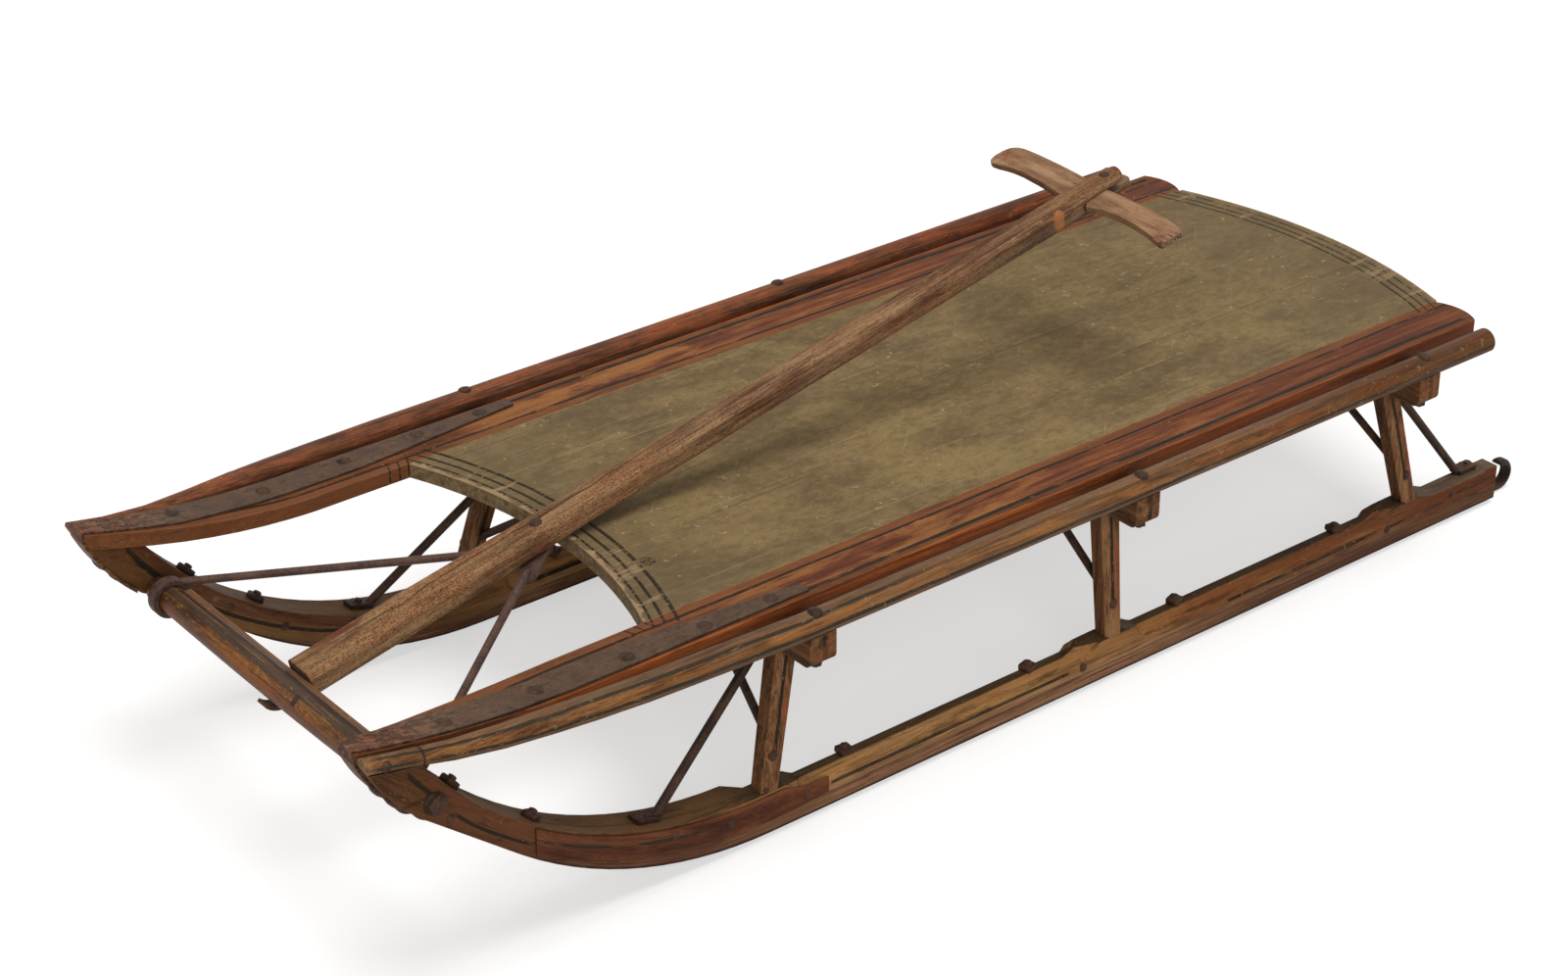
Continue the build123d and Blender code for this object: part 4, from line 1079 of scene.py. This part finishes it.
def domeHead(bm, matrix, radius, height):
    turned(bm, [(0, height), (0.35 * radius, 0.93 * height), (0.7 * radius, 0.66 * height),
                (0.92 * radius, 0.3 * height), (radius, -0.05 * height), (radius, -1.2)], matrix, 22)


def keepPiece(name, bm, body, material):
    mesh = bpy.data.meshes.new(name)
    bm.to_mesh(mesh)
    bm.free()
    for face in mesh.polygons:
        face.use_smooth = True
    mesh.materials.append(material)
    made = bpy.data.objects.new(name, mesh)
    bpy.context.collection.objects.link(made)
    softer = made.modifiers.new("edges", "EDGE_SPLIT")
    softer.split_angle = math.radians(38)
    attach(made, body)
    return made


# the cross grip as it was carved: swept ends, a waist each side of the fork, the near end broken
gripValues = {
    # across, front edge and rear edge along the pole
    "outline": ((-112.0, 823.0, 845.0), (-109.0, 822.5, 848.5), (-100.0, 824.6, 850.8),
                (-88.0, 827.8, 852.6), (-75.0, 830.0, 854.0), (-62.0, 831.3, 854.7),
                (-49.0, 831.8, 855.0), (-38.0, 831.0, 855.0), (-27.0, 828.8, 854.9),
                (-20.0, 826.2, 854.8), (-15.2, 824.6, 854.7), (-14.2, 827.8, 854.4),
                (14.2, 827.8, 854.4), (15.2, 825.0, 855.6), (25.0, 826.0, 856.6),
                (38.0, 828.0, 857.4), (52.0, 829.4, 857.9), (73.0, 830.0, 858.0),
                (85.0, 828.9, 857.9), (93.0, 827.2, 857.6), (101.0, 825.0, 856.8),
                (107.0, 824.2, 855.0), (111.0, 825.6, 851.6), (113.4, 829.0, 846.8),
                (114.2, 834.0, 841.5)),
    "thick": ((0.0, -3.4, 3.5), (54.0, -3.4, 3.5), (114.2, -1.3, 3.7)),   # across, low, high
    "cells": (150, 8),
    "ragged": 1.5,
    "softness": 1.1,
}


def between(rows, place):
    # a row of a table, read between its lines
    for a, b in zip(rows, rows[1:]):
        if place <= b[0]:
            share = max(0.0, (place - a[0]) / (b[0] - a[0]))
            return [m + share * (n - m) for m, n in zip(a[1:], b[1:])]
    return list(rows[-1][1:])


poleAxes = poleTurn.transposed()
bm = bmesh.new()
outline = gripValues["outline"]
bmesh.ops.create_grid(bm, x_segments=gripValues["cells"][0], y_segments=gripValues["cells"][1], size=1)
nearEnd, farEnd = outline[0][0], outline[-1][0]
bite = {}
for v in bm.verts:
    share, side = (v.co.x + 1) / 2, (v.co.y + 1) / 2
    across = nearEnd + share * (farEnd - nearEnd)
    frontEdge, rearEdge = between(outline, across)
    if share < 1e-4:
        across += bite.setdefault(round(side, 3), random.uniform(-gripValues["ragged"], 0.3))
    v.co = Vector((frontEdge + side * (rearEdge - frontEdge), across, 0))
raised = bmesh.ops.extrude_face_region(bm, geom=list(bm.faces))["geom"]
highVerts = {item for item in raised if isinstance(item, bmesh.types.BMVert)}
for v in bm.verts:
    low, high = between(gripValues["thick"], abs(v.co.y))
    v.co.z = high if v in highVerts else low
bmesh.ops.recalc_face_normals(bm, faces=bm.faces)
rims = [e for e in bm.edges if len(e.link_faces) == 2 and e.calc_face_angle(0) > 1.0]
bmesh.ops.bevel(bm, geom=rims, offset=gripValues["softness"], segments=3, profile=0.5,
                affect="EDGES", material=-1, clamp_overlap=True)
for v in bm.verts:
    if v.co.y < nearEnd + 2.5:
        v.co.y += random.uniform(-0.5, 0.5)
bmesh.ops.transform(bm, verts=bm.verts, matrix=Matrix.Translation(at(*barAxis))
                    @ poleAxes.to_4x4() @ Matrix.Diagonal((0.001, 0.001, 0.001, 1)))
bmesh.ops.recalc_face_normals(bm, faces=bm.faces)
carved = keepPiece("grip_carved", bm, "tongue", woodMade["grip"])
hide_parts("grip")
print("stage 4: cross grip")

# nuts along the top of the runners, with the bolts' ends
runnerNutValues = {
    "left": (-663, -594, -494, -290, -90, 83, 285, 466),
    "right": (-649, -588, -491, -288, -90, 83, 285, 466),
    "size": 12.5,
    "height": 5.2,
    "hole": 3.4,
}
for side, s in sides.items():
    bm = bmesh.new()
    for x in runnerNutValues[side]:
        point, normal = onSurface(f"runner_{side}", at(x, s * 206, 400), (0, 0, -1))
        values = (runnerNutValues[k] for k in ("size", "height", "hole"))
        squareNut(bm, seat(point, normal, random.uniform(0, math.pi)), *values)
    keepPiece(f"runner_nuts_{side}", bm, "sled", ironMade["boltIron"])

# slotted screws in the straps, a countersink round each
strapScrewValues = {"places": ((-360, 200.3), (-424, 200.4), (-496.5, 199), (-576.4, 195), (-657.9, 198.4)),
                    "radius": 5.2, "crown": 1.1, "slot": 0.7, "ring": 6.6}
for side, s in sides.items():
    bm = bmesh.new()
    rings = bmesh.new()
    for x, wide in strapScrewValues["places"]:
        point, normal = onSurface(f"strap_{side}", at(x, s * wide, 400), (0, 0, -1))
        spin = random.uniform(0, math.pi)
        slottedScrew(bm, seat(point, normal, spin), strapScrewValues["radius"],
                     strapScrewValues["crown"])
        washer(rings, seat(point, normal), strapScrewValues["ring"],
               strapScrewValues["radius"] + 0.3, 0.25)
        groove = bmesh.ops.create_cube(rings, size=1)["verts"]
        bmesh.ops.scale(rings, vec=(1.75 * strapScrewValues["radius"], strapScrewValues["slot"], 0.5),
                        verts=groove)
        bmesh.ops.transform(rings, verts=groove, matrix=seat(point + 0.001 * normal, normal, spin))
    keepPiece(f"strap_screws_{side}", bm, "sled", ironMade["boltIron"])
    keepPiece(f"strap_screw_rings_{side}", rings, "sled", ironMade["shoeIron"])

# domed heads: rivets, carriage bolts on the rails and under the nose, screws in the plates
headValues = {
    "railBolt": (6.0, 2.3), "plateScrew": (4.2, 1.6), "postRivet": (4.6, 2.2),
    "runnerRivet": (4.0, 1.6), "noseHead": (9.0, 4.2), "pin": (2.4, 1.0), "railPin": (4.4, 1.8),
}
headPlaces = {
    # node, x, across, z, direction of view, kind
    "rail_bolts": [("handrail_{}", x, 240.5, 400, "down", "railBolt") for x in (-348.5, -2, 344.5)]
    + [("handrail_{}", -722.5, 400, 207.5, "in", "railPin")],
    "plate_screws": [("side_plate_{}", x, 400, z, "in", "plateScrew")
                     for x, z in ((-341.7, 19.7), (-419.5, 26.6), (-473.0, 39.3))],
    "post_rivets": [("post_front_{}", -372.4, 400, 68.0, "in", "postRivet"),
                    ("post_middle_{}", -4.3, 400, 68.0, "in", "postRivet"),
                    ("post_rear_{}", 364.0, 400, 65.5, "in", "postRivet"),
                    ("post_front_{}", -382.0, 400, 41.0, "in", "pin")],
    "runner_rivets": [("runner_{}", x, 400, z, "in", "runnerRivet")
                      for x, z in ((-39.9, 19.9), (340.5, 18.5), (428.3, 24.7), (-672.0, 141.0))]
    + [("runner_{}", x, 100, z, "out", "runnerRivet")
       for x, z in ((-619.0, 106.4), (-570.2, 69.8), (-504.6, 49.6), (340.5, 18.5))],
    "nose_heads": [("runner_{}", x, 206, z, "nose", "noseHead")
                   for x, z in ((-688, 144), (-707, 165), (-720, 180))],
}
for group, rows in headPlaces.items():
    for side, s in sides.items():
        bm = bmesh.new()
        for node, x, wide, z, way, kind in rows:
            direction = {"down": (0, 0, -1), "in": (0, -s, 0), "out": (0, s, 0),
                         "nose": (0.87, 0, 0.5)}[way]
            start = at(x, s * wide, z)
            if way == "nose":
                start = start - Vector(direction) * 0.15
            point, normal = onSurface(node.format(side), start, direction)
            domeHead(bm, seat(point, normal, random.uniform(0, 6)), *headValues[kind])
        keepPiece(f"{group}_{side}", bm, "sled", ironMade["boltIron"])

# nuts under the beams' ends and the crossbar's through bolts
underNutValues = {"size": 10.5, "height": 3.4, "hole": 3.0, "across": 238.5}
throughValues = {"x": -684.0, "z": 159.5, "size": 13.5, "height": 6.0, "hole": 4.2, "washer": (9.5, 1.4)}
for side, s in sides.items():
    bm = bmesh.new()
    for place, x in zip(places, postValues["tops"]):
        point, normal = onSurface(f"beam_{place}", at(x, s * underNutValues["across"], 100), (0, 0, 1))
        squareNut(bm, seat(point, normal, random.uniform(0, 1)),
                  *(underNutValues[k] for k in ("size", "height", "hole")))
    keepPiece(f"beam_nuts_{side}", bm, "sled", ironMade["boltIron"])
    bm = bmesh.new()
    point, normal = onSurface(f"runner_{side}", at(throughValues["x"], s * 400, throughValues["z"]),
                              (0, -s, 0))
    washer(bm, seat(point, normal), throughValues["washer"][0], 3.0, throughValues["washer"][1])
    squareNut(bm, seat(point, normal, 0.5), *(throughValues[k] for k in ("size", "height", "hole")))
    keepPiece(f"crossbar_nut_{side}", bm, "sled", ironMade["boltIron"])

# the yoke's bolt through the pole, the grip's bolt, a pin through the pole's end
poleAcross = Vector((math.sin(poleYaw), math.cos(poleYaw), 0))
poleAlong = Vector((math.cos(poleLean) * math.cos(poleYaw), -math.sin(poleYaw),
                    math.sin(poleLean) * math.cos(poleYaw)))
poleUp = Vector((-math.sin(poleLean), 0, math.cos(poleLean)))
poleBoltValues = {
    # along the pole, across it, from above, radius, height
    "places": ((243.0, 0.0, 1, 5.5, 2.2), (863.0, 0.5, 1, 4.8, 1.3)),
    "yokeNut": (10.5, 3.2, 3.0),
}
bm = bmesh.new()
for along, across, above, radius, height in poleBoltValues["places"]:
    start = at(*barAxis) + (poleAlong * along + poleAcross * across + poleUp * 80 * above) / 1000
    point, normal = onSurface("tongue_pole", start, -above * poleUp)
    domeHead(bm, seat(point, normal), radius, height)
keepPiece("tongue_bolts", bm, "tongue", ironMade["boltIron"])
bm = bmesh.new()
start = at(*barAxis) + (poleAlong * 243.0 - poleUp * 80) / 1000
point, normal = onSurface("yoke_right", start, poleUp)
squareNut(bm, seat(point, normal, 0.7), *poleBoltValues["yokeNut"])
keepPiece("yoke_nut", bm, "tongue", ironMade["boltIron"])
print("stage 5: fasteners")
